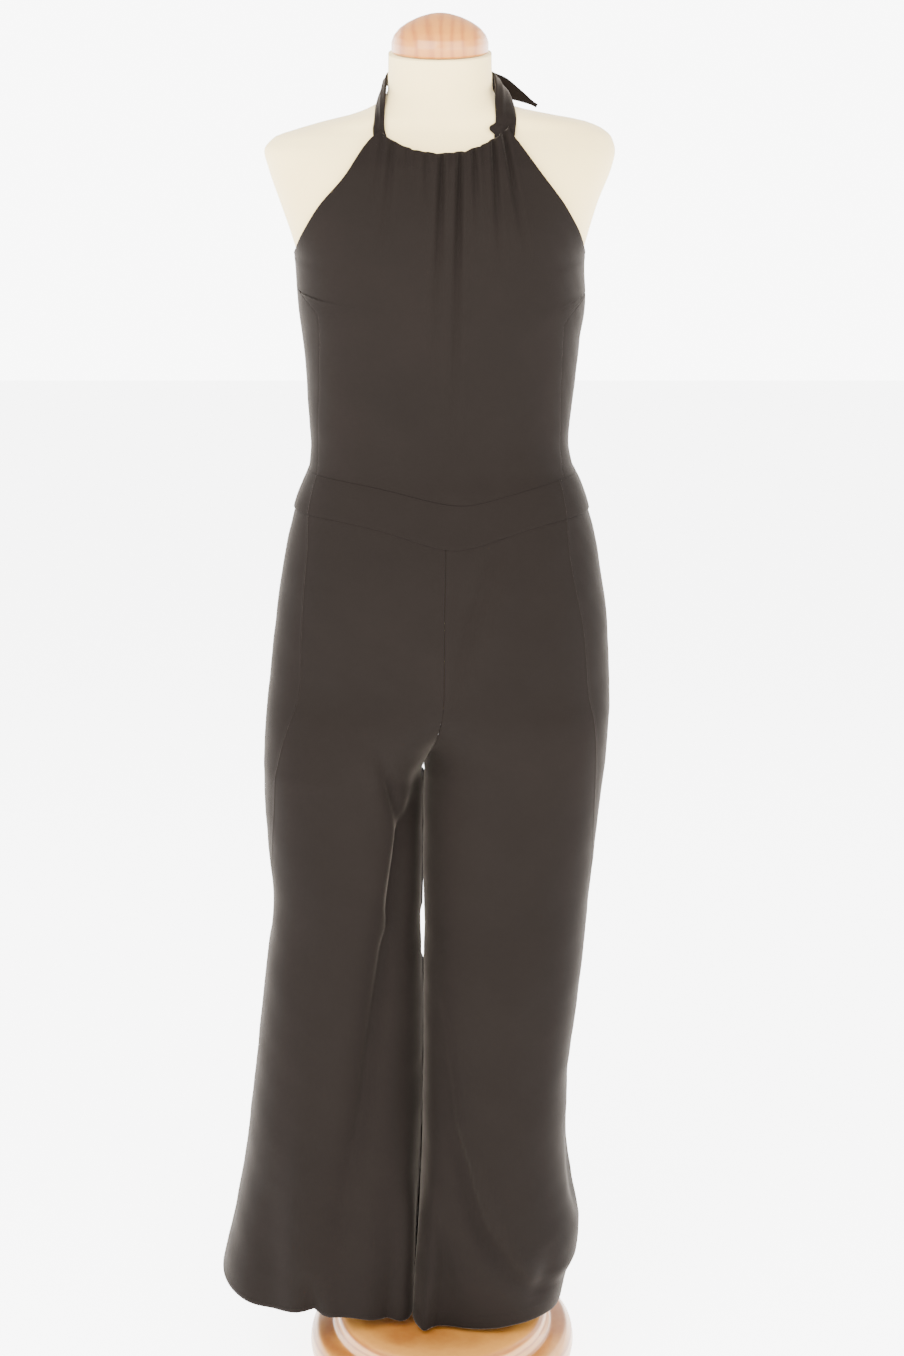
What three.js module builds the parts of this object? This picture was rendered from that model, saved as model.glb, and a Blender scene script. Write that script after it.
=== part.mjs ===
// Halter jumpsuit on a limbless dress form.
// Millimetres, +Z up. The wearer faces -Y, so the wearer's right is -X and left is +X.
// The origin is on the floor, at the middle of the turned base.
import * as THREE from 'three';
import { mergeVertices } from 'three/addons/utils/BufferGeometryUtils.js';

// ---------------------------------------------------------------- driving sizes
const CLOTH = 1.5;        // wall of every cut panel
const SEAM = 0.3;         // clear space between two sewn edges
const ROUND = 2.3;        // squareness of every cross-section, 2 is an ellipse
const BAND_PROUD = 1.0;   // the waistband stands this far off the panels it joins
const HEM = { right: 98, left: 95 };
const CROTCH = 789;       // height of the fork
const HIP = 900;          // above this height both legs share the trunk's section
const BAND_LOW = { side: 1088, drop: 30.5, middle: 15, spread: 72 };
const BAND_TOP = { side: 1129.5, drop: 25, middle: 20, spread: 75 };
const NECKLINE = { corner: 1486, drop: 25, curve: 1.3 };
const BACK_TOP = { right: 1332, left: 1322, middle: 1236, steepness: 1.15 };
const STRAP = { wall: 2.4, off: 2.2 };
const POLE_RADIUS = 15;
const TURNED_HEIGHT = 88;
const COLLAR = { radius: 31, height: 96 };
const FORM_FLOOR = 868;
const NECK = { height: 1563.5, tilt: 9, cap: 50.5, draw: 0.995, capGap: 0.6, capForward: 2 };
const SIDES = { form: 36, cap: 28, pole: 24, base: 44, knotRound: 16, knotHigh: 10 };


// how shapes fade and how finely they are sampled
const FACING_GAIN = 1.6;                        // a fold is whole where the cloth faces forwards by 1 / this
const TUCK_SLOPE = 1.6;                         // steepness of a tucked-back edge
const GATHER_WIDTH = { top: 0.8, foot: 1.5 };   // a gather opens out on its way down
const BAND_CURVE = 1.5;                         // power of the waistband's dip
const STEP = { level: 0.5, psi: 0.4, z: 1 };    // degrees and millimetres for taking a direction
const MERGE = 1e-4;                             // points nearer than this are one
const TIE_CORNER = { flat: 0.8, edge: 0.4 };    // how a tie's section is cut at its corners

// ---------------------------------------------------------------- short tables
/** Turns rows of numbers under a line of column names into a list of records. */
function table(columns, rows) {
  const names = columns.split(' ');
  return rows.map((row) => Object.fromEntries(names.map((name, i) => [name, row[i]])));
}

// The trunk: mid is where the front and back stand furthest out, right to back are its reaches.
const TRUNK = table('z mid right left front back', [
  [1490, 3, -146, 166, -70, 70],
  [1481, 3, -177, 183, -78, 78],
  [1465, 3, -189, 188, -89, 87],
  [1450, 3, -186, 185, -99, 94],
  [1414, 3, -174, 172, -114, 103],
  [1385, 3, -164, 163, -121, 106],
  [1352, 3, -154.5, 154, -125, 107],
  [1310, 3, -153, 155.5, -122, 104],
  [1267, 3, -148, 150, -113, 98],
  [1224, 4, -145, 145.5, -104, 93],
  [1180, 4, -143, 141, -97, 88],
  [1158, 5, -142, 140, -95, 87],
  [1136, 5, -143.5, 143.5, -95, 88],
  [1114, 6, -151, 153, -98, 93],
  [1092, 6, -158, 160, -101, 99],
  [1047, 6, -170, 172, -106, 110],
  [1001, 5, -179, 180, -109, 118],
  [955, 4.5, -185, 186, -110, 122],
  [900, 4, -192, 189.5, -109, 122],
  [861, 4, -197, 191, -107, 118],
  [838, 4, -199.5, 190, -105, 115],
  [814, 4, -201, 189, -103, 112],
  [789, 4, -202, 187, -101, 110],
]);

// The fork: seam is the centre seam's x, lean the way from it to a leg's own middle,
// and past how far a leg's oval would run beyond the seam if it weren't cut there.
const FORK = table('z seam lean past', [
  [900, 4, 0, 186],
  [880, 3, 13, 147],
  [860, 0, 42, 60],
  [840, -5, 63, 27],
  [820, -11, 77, 9],
  [805, -15.5, 83.5, 3.5],
  [789, -20, 90, 0],
]);

// Each leg below the fork. side is the y of its widest points.
const LEG = {
  right: table('z mid out in front back side', [
    [781, -110, -202, -23.4, -100, 109, 0],
    [765, -110, -202, -21.4, -99, 108, 1],
    [692, -112, -200, -22.4, -94, 104, 4],
    [635, -114, -196, -23.6, -91, 101, 7],
    [590, -116, -199, -24.2, -89, 100, 10],
    [542, -120, -206, -23.2, -88, 99, 12],
    [491, -124, -212, -22.8, -87, 98, 15],
    [387, -131, -225, -23.2, -86, 97, 21],
    [280, -138, -240, -26.4, -85, 98, 29],
    [198, -146, -256, -30, -84, 100, 36],
    [142, -151, -270, -32.6, -83, 102, 41],
    [98, -155, -278, -34, -82, 104, 45],
  ]),
  left: table('z mid out in front back side', [
    [781, 72, 186, -19.2, -100, 109, 0],
    [765, 74, 184.5, -20, -99, 108, 0],
    [692, 76, 177, -20.8, -95, 106, 1],
    [618, 76, 170.5, -20.4, -92, 104, 2],
    [590, 75, 169, -20.2, -92, 104, 3],
    [542, 73, 165, -21.2, -92, 104, 4],
    [491, 70, 160, -21.4, -92, 103, 5],
    [387, 66, 150, -22, -93, 103, 6],
    [333, 64, 150, -23.2, -94, 104, 7],
    [253, 64, 159, -26.2, -95, 105, 8],
    [198, 64, 168, -28.8, -95, 105, 8],
    [170, 63, 166, -30.2, -93, 103, 8],
    [142, 60, 155, -31.4, -88, 99, 8],
    [95, 57, 146, -32.8, -79, 91, 8],
  ]),
};

// Where the front bodice ends at each side: the armhole edge, then the seam below its corner.
const FRONT_EDGE = table('z right left', [
  [1486, -61.5, 72],
  [1479, -71, 78],
  [1442, -97.5, 106.5],
  [1412, -124.5, 129.5],
  [1385, -142, 145],
  [1368, -151, 151.5],
  [1350, -159, 157],
  [1332, -159, 159],
  [1322, -148, 158],
  [1312, -137, 149],
  [1300, -127, 136],
  [1288, -126, 129],
  [1230, -128, 128],
  [1180, -131, 129],
  [1104, -133, 131],
]);

// How far each hem hangs above its lowest level, against x: z is the x here.
const HEM_RISE = {
  right: table('z rise', [[-278, 24], [-240, 22], [-200, 18], [-150, 13], [-110, 11], [-70, 5], [-34, 0]]),
  left: table('z rise', [[-33, 0], [20, 0], [60, 2], [95, 7], [120, 9], [146, 6]]),
};
const HEM_REACH = { from: 300, over: 200 };   // the rise fades out upwards between these heights

// The side seam below the bodice, in degrees from the front of a section.
const SIDE_SEAM = table('z right left', [
  [1135, 66, 57],
  [1090, 62, 54],
  [1046, 56, 51],
  [951, 54, 56],
  [847, 55, 60],
  [757, 60, 66],
  [635, 76, 80],
  [560, 88, 88],
  [95, 90, 90],
]);

// Gathers that run down from the neckline: a trough from x at the top to foot at height z.
const GATHERS = table('x foot z depth width', [
  [-56, -50, 1390, 1.6, 6],
  [-34, -31, 1425, 1.4, 5],
  [-17, -17, 1410, 2.2, 5],
  [0, 0, 1293, 3.6, 6],
  [17, 20, 1150, 4, 6.5],
  [27, 27, 1440, 2, 4.5],
  [38, 37, 1400, 2.6, 5],
  [57, 67, 1347, 3, 6],
  [71, 88, 1390, 2.6, 6],
]);

// Folds of the legs. A row is one knot of a fold's path: its height, place, depth and half-width.
const fold = (leg, face, kind, rows) => ({ leg, face, kind, path: table('z x depth width', rows) });
const FOLDS = [
  // the long fold from the fork down the right leg's front
  fold('right', 'front', 'trough', [
    [812, -20, 0, 8], [770, -24, 14, 9], [701, -39, 22, 12], [618, -51, 26, 14],
    [493, -72, 28, 17], [374, -90, 27, 21], [301, -105, 25, 24], [220, -117, 21, 28], [98, -132, 12, 34],
  ]),
  // the short crease that joins it
  fold('right', 'front', 'trough', [[840, -69, 0, 7], [790, -56, 6, 7], [751, -46, 6, 8], [700, -38, 0, 9]]),
  // the cave at the hem
  fold('right', 'front', 'trough', [[165, -150, 0, 8], [130, -149, 12, 9], [98, -149, 22, 10]]),
  // the soft fold that sweeps across the left leg
  fold('left', 'front', 'trough', [
    [560, -8, 0, 10], [459, 0, 5, 12], [374, 8, 8, 13], [316, 24, 10, 14],
    [252, 41, 11, 15], [196, 69, 9, 14], [150, 106, 0, 12],
  ]),
  // the tucked-back inner front of the left leg, beside a standing edge
  fold('left', 'front', 'tuck', [
    [400, -23, 0, 3], [350, -21, 8, 3], [284, -18, 12, 3.5], [243, -5, 13, 4],
    [192, 14, 14, 4.5], [133, 30, 13, 5], [95, 38, 9, 6],
  ]),
  // the drag line from the waistband towards the fork
  fold('left', 'front', 'trough', [[1071, 65, 0, 9], [1013, 43, 2.4, 9], [943, 27, 2.4, 9], [870, 12, 0, 8]]),
  // the backs
  fold('right', 'back', 'trough', [[770, -42, 0, 12], [640, -62, 12, 15], [400, -98, 18, 20], [98, -128, 14, 28]]),
  fold('right', 'back', 'trough', [[560, -150, 0, 14], [330, -178, 9, 18], [98, -196, 13, 22]]),
  fold('left', 'back', 'trough', [[780, 20, 0, 12], [600, 38, 9, 15], [330, 62, 15, 19], [95, 78, 10, 24]]),
  fold('left', 'back', 'trough', [[480, 0, 0, 12], [300, 4, 8, 14], [95, 10, 10, 16]]),
];

// The dress form above the waist; below, it is the trunk drawn in by FORM_EASE.
const FORM_TOP = table('z mid right left front back', [
  [1545, 0, -54, 54, -57, 53],
  [1527, 0, -54.5, 55, -57, 54],
  [1517, 0, -61, 63, -58, 55],
  [1510, 1, -72, 79, -59, 57],
  [1503, 2, -90, 112, -61, 59],
  [1496, 2, -119, 150, -63, 61],
  [1488, 2, -148, 170, -64, 64],
  [1479, 2, -174, 180, -70, 71],
  [1465, 2, -185, 184, -81, 81],
  [1450, 2, -181.5, 181, -91, 88],
  [1414, 3, -169.5, 167, -107, 97],
  [1385, 3, -159.5, 158, -114, 100],
  [1352, 3, -149.5, 149, -118, 101],
]);
const FORM_EASE = table('z ease', [
  [1352, 5], [1330, 6], [1250, 7], [1160, 6], [1090, 7], [1000, 8], [930, 9], [900, 12], [884, 20], [874, 32], [868, 46],
]);

// The straps lie on the form. Each row gives the edge next to the neck and the edge away from it,
// by psi, the way round the form from the front, and z, the height there.
const STRAPS = {
  right: table('nearPsi near farPsi far', [
    [18, 1490, 25, 1489], [25, 1497, 32, 1495], [40, 1507, 47, 1503], [70, 1518, 73, 1510],
    [95, 1529, 98, 1513], [118, 1539, 120, 1520], [142, 1546, 142, 1528], [162, 1549, 162, 1534],
  ]),
  left: table('nearPsi near farPsi far', [
    [16, 1490, 24, 1489], [19, 1497, 27, 1495], [31, 1506, 40, 1502], [66, 1518, 66, 1508],
    [92, 1530, 92, 1511], [115, 1540, 115, 1519], [140, 1547, 140, 1528], [164, 1549, 164, 1534],
  ]),
};
const TAILS = {
  left: table('x y z half', [
    [26, 68, 1541, 6], [42, 69, 1538, 10], [62, 68, 1531, 11], [84, 66, 1521, 8], [104, 64, 1510, 1.5],
  ]),
  right: table('x y z half', [
    [-8, 70, 1526, 5], [-12, 79, 1505, 10], [-15, 95, 1470, 11], [-18, 107, 1432, 11], [-20, 111, 1398, 10.5],
  ]),
};
const KNOT = { x: 3, y: 70.5, z: 1541, wide: 16, deep: 9.5, high: 12.5 };

// The turned base and the neck cap, as radius and height from the middle outwards.
const BASE_PROFILE = table('r z', [
  [0, 0], [150, 0], [157, 3], [160, 12], [157, 20], [161, 28], [163, 40], [161, 52], [154, 60],
  [143, 62], [134, 63], [131, 70], [129, 79], [122, 84], [104, TURNED_HEIGHT], [40, TURNED_HEIGHT],
  [34, TURNED_HEIGHT + 1], [COLLAR.radius, TURNED_HEIGHT + 4], [COLLAR.radius - 2, COLLAR.height], [0, COLLAR.height],
]);
const CAP_PROFILE = table('r z', [
  [0, 0], [NECK.cap - 1, 0], [NECK.cap, 2], [NECK.cap, 10], [48, 17], [42, 24], [33, 30], [22, 35], [10, 38.5], [0, 39.5],
]);

// ---------------------------------------------------------------- maths
/** Smooth value of one column of a table at height z; it never overshoots the rows. */
function at(rows, column, z) {
  const list = rows[0].z < rows[rows.length - 1].z ? rows : [...rows].reverse();
  const last = list.length - 1;
  if (z <= list[0].z) return list[0][column];
  if (z >= list[last].z) return list[last][column];
  const k = list.findIndex((row) => row.z > z) - 1;
  const slope = (i) => (list[i + 1][column] - list[i][column]) / (list[i + 1].z - list[i].z);
  const tangent = (i) => {
    if (i === 0) return slope(0);
    if (i === last) return slope(last - 1);
    const [a, b] = [slope(i - 1), slope(i)];
    return a * b <= 0 ? 0 : (2 * a * b) / (a + b);
  };
  const h = list[k + 1].z - list[k].z;
  const t = (z - list[k].z) / h;
  const [a, b] = [list[k][column], list[k + 1][column]];
  const [ta, tb] = [tangent(k) * h, tangent(k + 1) * h];
  return a + t * ta + t * t * (3 * (b - a) - 2 * ta - tb) + t * t * t * (2 * (a - b) + ta + tb);
}

const rad = (degrees) => (degrees * Math.PI) / 180;
const mix = (a, b, t) => a + (b - a) * t;
const smooth = (t) => t * t * (3 - 2 * t);
const power = (value) => Math.sign(value) * Math.abs(value) ** (2 / ROUND);

/** A point of an oval: psi is 0 at the front, 90 at its a side, -90 at its b side and 180 behind. */
function oval({ mid, a, b, front, back, side }, psi) {
  const s = power(Math.sin(rad(psi)));
  const c = power(Math.cos(rad(psi)));
  return new THREE.Vector2(
    s >= 0 ? mid + (a - mid) * s : mid - (b - mid) * s,
    c >= 0 ? side + (front - side) * c : side - (back - side) * c,
  );
}

/** The psi at which an oval passes x, on its front. */
function angleAt({ mid, a, b }, x) {
  const reach = Math.sign(x - mid) === Math.sign(a - mid) ? a : b;
  const part = Math.min(1, Math.abs((x - mid) / (reach - mid)));
  const psi = (Math.asin(part ** (ROUND / 2)) * 180) / Math.PI;
  return reach === a ? psi : -psi;
}

/** Outward direction of an oval at psi, level. */
function ovalNormal(section, psi) {
  const step = oval(section, psi + STEP.level).sub(oval(section, psi - STEP.level));
  const normal = new THREE.Vector2(step.y, -step.x).normalize();
  return section.a > section.mid ? normal : normal.negate();
}

// ---------------------------------------------------------------- the body and leg surfaces
/** The trunk's section at a height, with its a side on the named side. */
function trunkSection(side, z) {
  const value = (column) => at(TRUNK, column, z);
  const [a, b] = side === 'left' ? [value('left'), value('right')] : [value('right'), value('left')];
  return { mid: value('mid'), a, b, front: value('front'), back: value('back'), side: 0 };
}

/** All rows of one leg, from the hip to the hem: the fork's rows come from the trunk. */
function legRows(side) {
  const sign = side === 'left' ? 1 : -1;
  const fork = FORK.map((row) => {
    const trunk = trunkSection(side, row.z);
    return {
      z: row.z, mid: row.seam + sign * row.lean, out: trunk.a, in: row.seam - sign * row.past,
      front: trunk.front, back: trunk.back, side: 0,
    };
  });
  return [...fork, ...LEG[side]];
}
const LEG_ROWS = { right: legRows('right'), left: legRows('left') };

function legSection(side, z) {
  if (z >= HIP) return trunkSection(side, z);
  const value = (column) => at(LEG_ROWS[side], column, z);
  const names = { mid: 'mid', a: 'out', b: 'in', front: 'front', back: 'back', side: 'side' };
  return Object.fromEntries(Object.entries(names).map(([key, column]) => [key, value(column)]));
}

const seamX = (z) => (z >= HIP ? at(TRUNK, 'mid', z) : at(FORK, 'seam', z));

/** How far the folds of a leg push a point in. */
function foldDepth(leg, facing, x, z) {
  let depth = 0;
  for (const item of FOLDS) {
    const first = item.path[0].z;
    const last = item.path[item.path.length - 1].z;
    const shown = item.face === 'front' ? facing : -facing;
    if (item.leg !== leg || z > first || shown <= 0) continue;
    const height = Math.max(z, last);
    const away = (x - at(item.path, 'x', height)) / at(item.path, 'width', height);
    const shape = item.kind === 'trough' ? Math.exp(-away * away) : 1 / (1 + Math.exp(TUCK_SLOPE * away));
    depth += at(item.path, 'depth', height) * shape * Math.min(1, FACING_GAIN * shown) ** 2;
  }
  return depth;
}

function legPoint(side, psi, z) {
  const section = legSection(side, z);
  const flat = oval(section, psi);
  const push = foldDepth(side, Math.cos(rad(psi)), flat.x, z);
  flat.addScaledVector(ovalNormal(section, psi), -push);
  return new THREE.Vector3(flat.x, flat.y, z);
}

/** How far the neckline's gathers push a point of the bodice in. */
function gatherDepth(x, z) {
  let depth = 0;
  for (const row of GATHERS) {
    const t = (NECKLINE.corner - z) / (NECKLINE.corner - row.z);
    if (t >= 1) continue;
    const away = (x - mix(row.x, row.foot, t)) / (row.width * mix(GATHER_WIDTH.top, GATHER_WIDTH.foot, t));
    depth += row.depth * (1 - smooth(Math.max(0, t))) * Math.exp(-away * away);
  }
  return depth;
}

function trunkPoint(side, psi, z) {
  const section = trunkSection(side, z);
  const flat = oval(section, psi);
  const push = Math.cos(rad(psi)) > 0 ? gatherDepth(flat.x, z) : 0;
  flat.addScaledVector(ovalNormal(section, psi), -push);
  return new THREE.Vector3(flat.x, flat.y, z);
}

/** Outward direction of a surface given as surface(psi, z). */
function normalOf(surface, outSign, psi, z) {
  const across = surface(psi + STEP.psi, z).sub(surface(psi - STEP.psi, z));
  const up = surface(psi, z + STEP.z).sub(surface(psi, z - STEP.z));
  return across.cross(up).multiplyScalar(outSign).normalize();
}

// ---------------------------------------------------------------- meshes
/** Closed mesh from a grid of outer points and the grid of inner points behind them. */
function shell(outer, inner) {
  const rows = outer.length;
  const columns = outer[0].length;
  const points = [...outer.flat(), ...inner.flat()];
  const index = [];
  const out = (i, j) => i * columns + j;
  const inn = (i, j) => rows * columns + out(i, j);
  const quad = (a, b, c, d) => index.push(a, b, c, a, c, d);
  for (let i = 0; i + 1 < rows; i += 1) {
    for (let j = 0; j + 1 < columns; j += 1) {
      quad(out(i, j), out(i, j + 1), out(i + 1, j + 1), out(i + 1, j));
      quad(inn(i, j), inn(i + 1, j), inn(i + 1, j + 1), inn(i, j + 1));
    }
    quad(out(i + 1, 0), inn(i + 1, 0), inn(i, 0), out(i, 0));
    quad(out(i, columns - 1), inn(i, columns - 1), inn(i + 1, columns - 1), out(i + 1, columns - 1));
  }
  for (let j = 0; j + 1 < columns; j += 1) {
    quad(out(0, j), inn(0, j), inn(0, j + 1), out(0, j + 1));
    quad(out(rows - 1, j + 1), inn(rows - 1, j + 1), inn(rows - 1, j), out(rows - 1, j));
  }
  return facingOut(points, index);
}

/** Geometry of a closed mesh whose faces are turned outwards. */
function facingOut(points, index) {
  let volume = 0;
  const cross = new THREE.Vector3();
  for (let k = 0; k < index.length; k += 3) {
    cross.crossVectors(points[index[k + 1]], points[index[k + 2]]);
    volume += points[index[k]].dot(cross);
  }
  if (volume < 0) index.reverse();
  const geometry = new THREE.BufferGeometry().setFromPoints(points);
  geometry.setIndex(index);
  return geometry;
}

/** Closed mesh through a stack of rings of equal length, capped at both ends. */
function loft(rings) {
  const count = rings[0].length;
  const points = rings.flat();
  const index = [];
  for (let i = 0; i + 1 < rings.length; i += 1) {
    for (let j = 0; j < count; j += 1) {
      const k = (j + 1) % count;
      const [a, b] = [i * count, (i + 1) * count];
      index.push(a + j, a + k, b + k, a + j, b + k, b + j);
    }
  }
  for (const [ring, start, turn] of [[rings[0], 0, 1], [rings.at(-1), points.length - count, -1]]) {
    const centre = ring.reduce((sum, point) => sum.add(point), new THREE.Vector3()).divideScalar(count);
    points.push(centre);
    const hub = points.length - 1;
    for (let j = 0; j < count; j += 1) {
      const [a, b] = [start + j, start + ((j + 1) % count)];
      index.push(...(turn > 0 ? [hub, b, a] : [hub, a, b]));
    }
  }
  return facingOut(points, index);
}

/**
 * A cut panel on surface(psi, z). Each row has its level at the side edge, which sets how
 * psiAt(level, s) spreads the row, and z(s), the height at a column's share s of the width.
 */
function panel({ surface, outSign, columns, rows, psiAt, proud = 0, wall = CLOTH }) {
  const outer = [];
  const inner = [];
  for (const row of rows) {
    const line = [];
    const lining = [];
    for (let j = 0; j <= columns; j += 1) {
      const s = j / columns;
      const z = row.z(s);
      const psi = psiAt(row.level, s);
      const normal = normalOf(surface, outSign, psi, z);
      const point = surface(psi, z);
      if (j === 0 || j === columns) {
        const inward = Math.sign(psiAt(row.level, 0.5) - psi);
        const ahead = surface(psi + STEP.psi * inward, z);
        const along = ahead.sub(surface(psi - STEP.psi * inward, z)).setZ(0).normalize();
        point.addScaledVector(along, SEAM / 2);
      }
      line.push(point.clone().addScaledVector(normal, proud));
      lining.push(point.clone().addScaledVector(normal, proud - wall));
    }
    outer.push(line);
    inner.push(lining);
  }
  return shell(outer, inner);
}

const CREPE = { color: 0x2b2523, roughness: 0.85, metalness: 0 };
const JERSEY = { color: 0xe9e1d2, roughness: 0.9, metalness: 0 };
const PINE = { color: 0xc9924e, roughness: 0.25, metalness: 0 };
const STEEL = { color: 0xb8babd, roughness: 0.3, metalness: 1 };
const jumpsuit = new THREE.Group();
const dressForm = new THREE.Group();

function add(group, name, geometry, finish) {
  geometry.deleteAttribute('normal');
  geometry.deleteAttribute('uv');
  const mesh = new THREE.Mesh(mergeVertices(geometry, MERGE), new THREE.MeshStandardMaterial(finish));
  mesh.name = name;
  group.add(mesh);
  return mesh;
}

// ---------------------------------------------------------------- seams shared by the panels
/** Height of a waistband seam at x on the front; it runs level behind. */
function bandHeight(band, x, behind) {
  if (behind) return band.side;
  const away = Math.abs(x - band.middle) / band.spread;
  return band.side - band.drop * Math.exp(-(away ** BAND_CURVE));
}

/** Height of a waistband seam on a panel whose psi runs over edges. */
function bandAt(band, side, psi) {
  const section = trunkSection(side, band.side);
  return bandHeight(band, oval(section, psi).x, Math.cos(rad(psi)) < 0);
}

/** The side seam on the trunk and legs, in degrees, below the bodice and along it. */
function sideAngle(side, z) {
  if (z <= BAND_TOP.side) return at(SIDE_SEAM, side, z);
  return angleAt(trunkSection(side, z), at(FRONT_EDGE, side, z));
}

/** The inner edge of a leg panel: the centre seam above the fork and the inseam below it. */
function innerAngle(side, face, z) {
  if (z >= HIP) return face === 'front' ? 0 : -180;
  if (z <= CROTCH) return -90;
  const front = angleAt(legSection(side, z), seamX(z));
  return face === 'front' ? front : -180 - front;
}

// ---------------------------------------------------------------- legs
const LEG_COLUMNS = 12;   // across one leg panel; the pieces above have the same columns
const LEG_HEIGHTS = [
  1040, 1000, 955, 910, 878, 858, 840, 824, 810, 798, CROTCH, 781, 765, 730, 680, 630, 580, 530, 470, 400,
  335, 280, 235, 195, 160, 125,
];
const FLAT_BELOW = 940;

for (const side of ['right', 'left']) {
  const outSign = side === 'left' ? 1 : -1;
  for (const face of ['front', 'back']) {
    const psiAt = (z, s) => {
      const from = face === 'front' ? sideAngle(side, z) : sideAngle(side, z) - 360;
      return mix(from, innerAngle(side, face, z), s);
    };
    const topAt = (s) => bandAt(BAND_LOW, side, psiAt(BAND_LOW.side, s)) - SEAM / 2;
    const riseAt = (level, s) => {
      const t = Math.min(1, Math.max(0, (HEM_REACH.from - level) / HEM_REACH.over));
      return smooth(t) * at(HEM_RISE[side], 'rise', oval(legSection(side, level), psiAt(level, s)).x);
    };
    const rows = [{ level: BAND_LOW.side, z: topAt }];
    for (const level of [...LEG_HEIGHTS, HEM[side]]) {
      const share = Math.max(0, (level - FLAT_BELOW) / (BAND_LOW.side - FLAT_BELOW));
      rows.push({ level, z: (s) => level + share * (topAt(s) - BAND_LOW.side) + riseAt(level, s) });
    }
    const geometry = panel({
      surface: (psi, z) => legPoint(side, psi, z),
      outSign,
      columns: LEG_COLUMNS,
      rows,
      psiAt,
    });
    add(jumpsuit, `leg_${side}_${face}`, geometry, CREPE);
  }
}

// ---------------------------------------------------------------- waistband
const BAND_ROWS = 2;

/** Psi across the whole front, seen from the left side: the middle column is the centre. */
function acrossFront(z, s) {
  return s < 0.5 ? mix(sideAngle('left', z), 0, 2 * s) : mix(0, -sideAngle('right', z), 2 * s - 1);
}
const acrossBack = (side) => (z, s) => mix(sideAngle(side, z), 180, s);

function bandPanel(name, side, columns, psiAt) {
  const low = (s) => bandAt(BAND_LOW, side, psiAt(BAND_LOW.side, s)) + SEAM / 2;
  const top = (s) => bandAt(BAND_TOP, side, psiAt(BAND_TOP.side, s)) - SEAM / 2;
  const rows = [];
  for (let i = 0; i <= BAND_ROWS; i += 1) {
    const share = i / BAND_ROWS;
    rows.push({ level: mix(BAND_LOW.side, BAND_TOP.side, share), z: (s) => mix(low(s), top(s), share) });
  }
  const surface = (psi, z) => trunkPoint(side, psi, z);
  const outSign = side === 'left' ? 1 : -1;
  add(jumpsuit, name, panel({ surface, outSign, columns, rows, psiAt, proud: BAND_PROUD }), CREPE);
}
bandPanel('waistband_front', 'left', 2 * LEG_COLUMNS, acrossFront);
bandPanel('waistband_back_right', 'right', LEG_COLUMNS, acrossBack('right'));
bandPanel('waistband_back_left', 'left', LEG_COLUMNS, acrossBack('left'));

// ---------------------------------------------------------------- bodice
const SIDE_HEIGHTS = [1165, 1205, 1245, 1280, 1300, 1312, 1322, 1332, 1350, 1368, 1390, 1416, 1442, 1465, 1479];
const FLOOR_REACH = 150;   // the waist seam's dip is worked out of the rows over this height
const bodiceFloor = (side, psi) => bandAt(BAND_TOP, side, psi) + SEAM / 2;

/** Rows of a bodice panel between its floor, floorAt(s), and its top edge, topAt(s). */
function bodiceRows(levels, topLevel, floorAt, topAt) {
  const rows = [{ level: BAND_TOP.side, z: floorAt }];
  for (const level of levels.filter((z) => z < topLevel)) {
    const dip = Math.max(0, 1 - (level - BAND_TOP.side) / FLOOR_REACH);
    const share = (level - BAND_TOP.side) / (topLevel - BAND_TOP.side);
    const z = (s) => level + dip * (floorAt(s) - BAND_TOP.side) + share * (topAt(s) - topLevel);
    rows.push({ level, z });
  }
  rows.push({ level: topLevel, z: topAt });
  return rows;
}

/** Top edge of the front: level at the corners and dipping between them. */
const necklineAt = (s) => NECKLINE.corner - NECKLINE.drop * Math.sin(Math.PI * s) ** NECKLINE.curve;

{
  const floorAt = (s) => bodiceFloor('left', acrossFront(BAND_TOP.side, s));
  const rows = bodiceRows(SIDE_HEIGHTS, NECKLINE.corner, floorAt, necklineAt);
  const geometry = panel({
    surface: (psi, z) => trunkPoint('left', psi, z),
    outSign: 1,
    columns: 2 * LEG_COLUMNS,
    rows,
    psiAt: acrossFront,
  });
  add(jumpsuit, 'bodice_front', geometry, CREPE);
}

for (const side of ['right', 'left']) {
  const floorAt = (s) => bodiceFloor(side, acrossBack(side)(BAND_TOP.side, s));
  const topAt = (s) => mix(BACK_TOP[side], BACK_TOP.middle, smooth(Math.min(1, s * BACK_TOP.steepness)));
  const rows = bodiceRows(SIDE_HEIGHTS, BACK_TOP[side], floorAt, topAt);
  const geometry = panel({
    surface: (psi, z) => trunkPoint(side, psi, z),
    outSign: side === 'left' ? 1 : -1,
    columns: LEG_COLUMNS,
    rows,
    psiAt: acrossBack(side),
  });
  add(jumpsuit, `bodice_back_${side}`, geometry, CREPE);
}

// ---------------------------------------------------------------- dress form
/** The form's section: its own rows above the bust, and the trunk drawn in below. */
function formSection(side, z) {
  const top = FORM_TOP.at(-1).z;
  if (z >= top) {
    const value = (column) => at(FORM_TOP, column, z);
    const [a, b] = side === 'left' ? [value('left'), value('right')] : [value('right'), value('left')];
    return { mid: value('mid'), a, b, front: value('front'), back: value('back'), side: 0 };
  }
  const trunk = trunkSection(side, z);
  const ease = at(FORM_EASE, 'ease', z);
  const inward = (value) => value - Math.sign(value) * ease;
  return {
    mid: trunk.mid, a: inward(trunk.a), b: inward(trunk.b), front: inward(trunk.front), back: inward(trunk.back), side: 0,
  };
}

function formPoint(side, psi, z) {
  const flat = oval(formSection(side, z), psi);
  return new THREE.Vector3(flat.x, flat.y, z);
}

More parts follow.
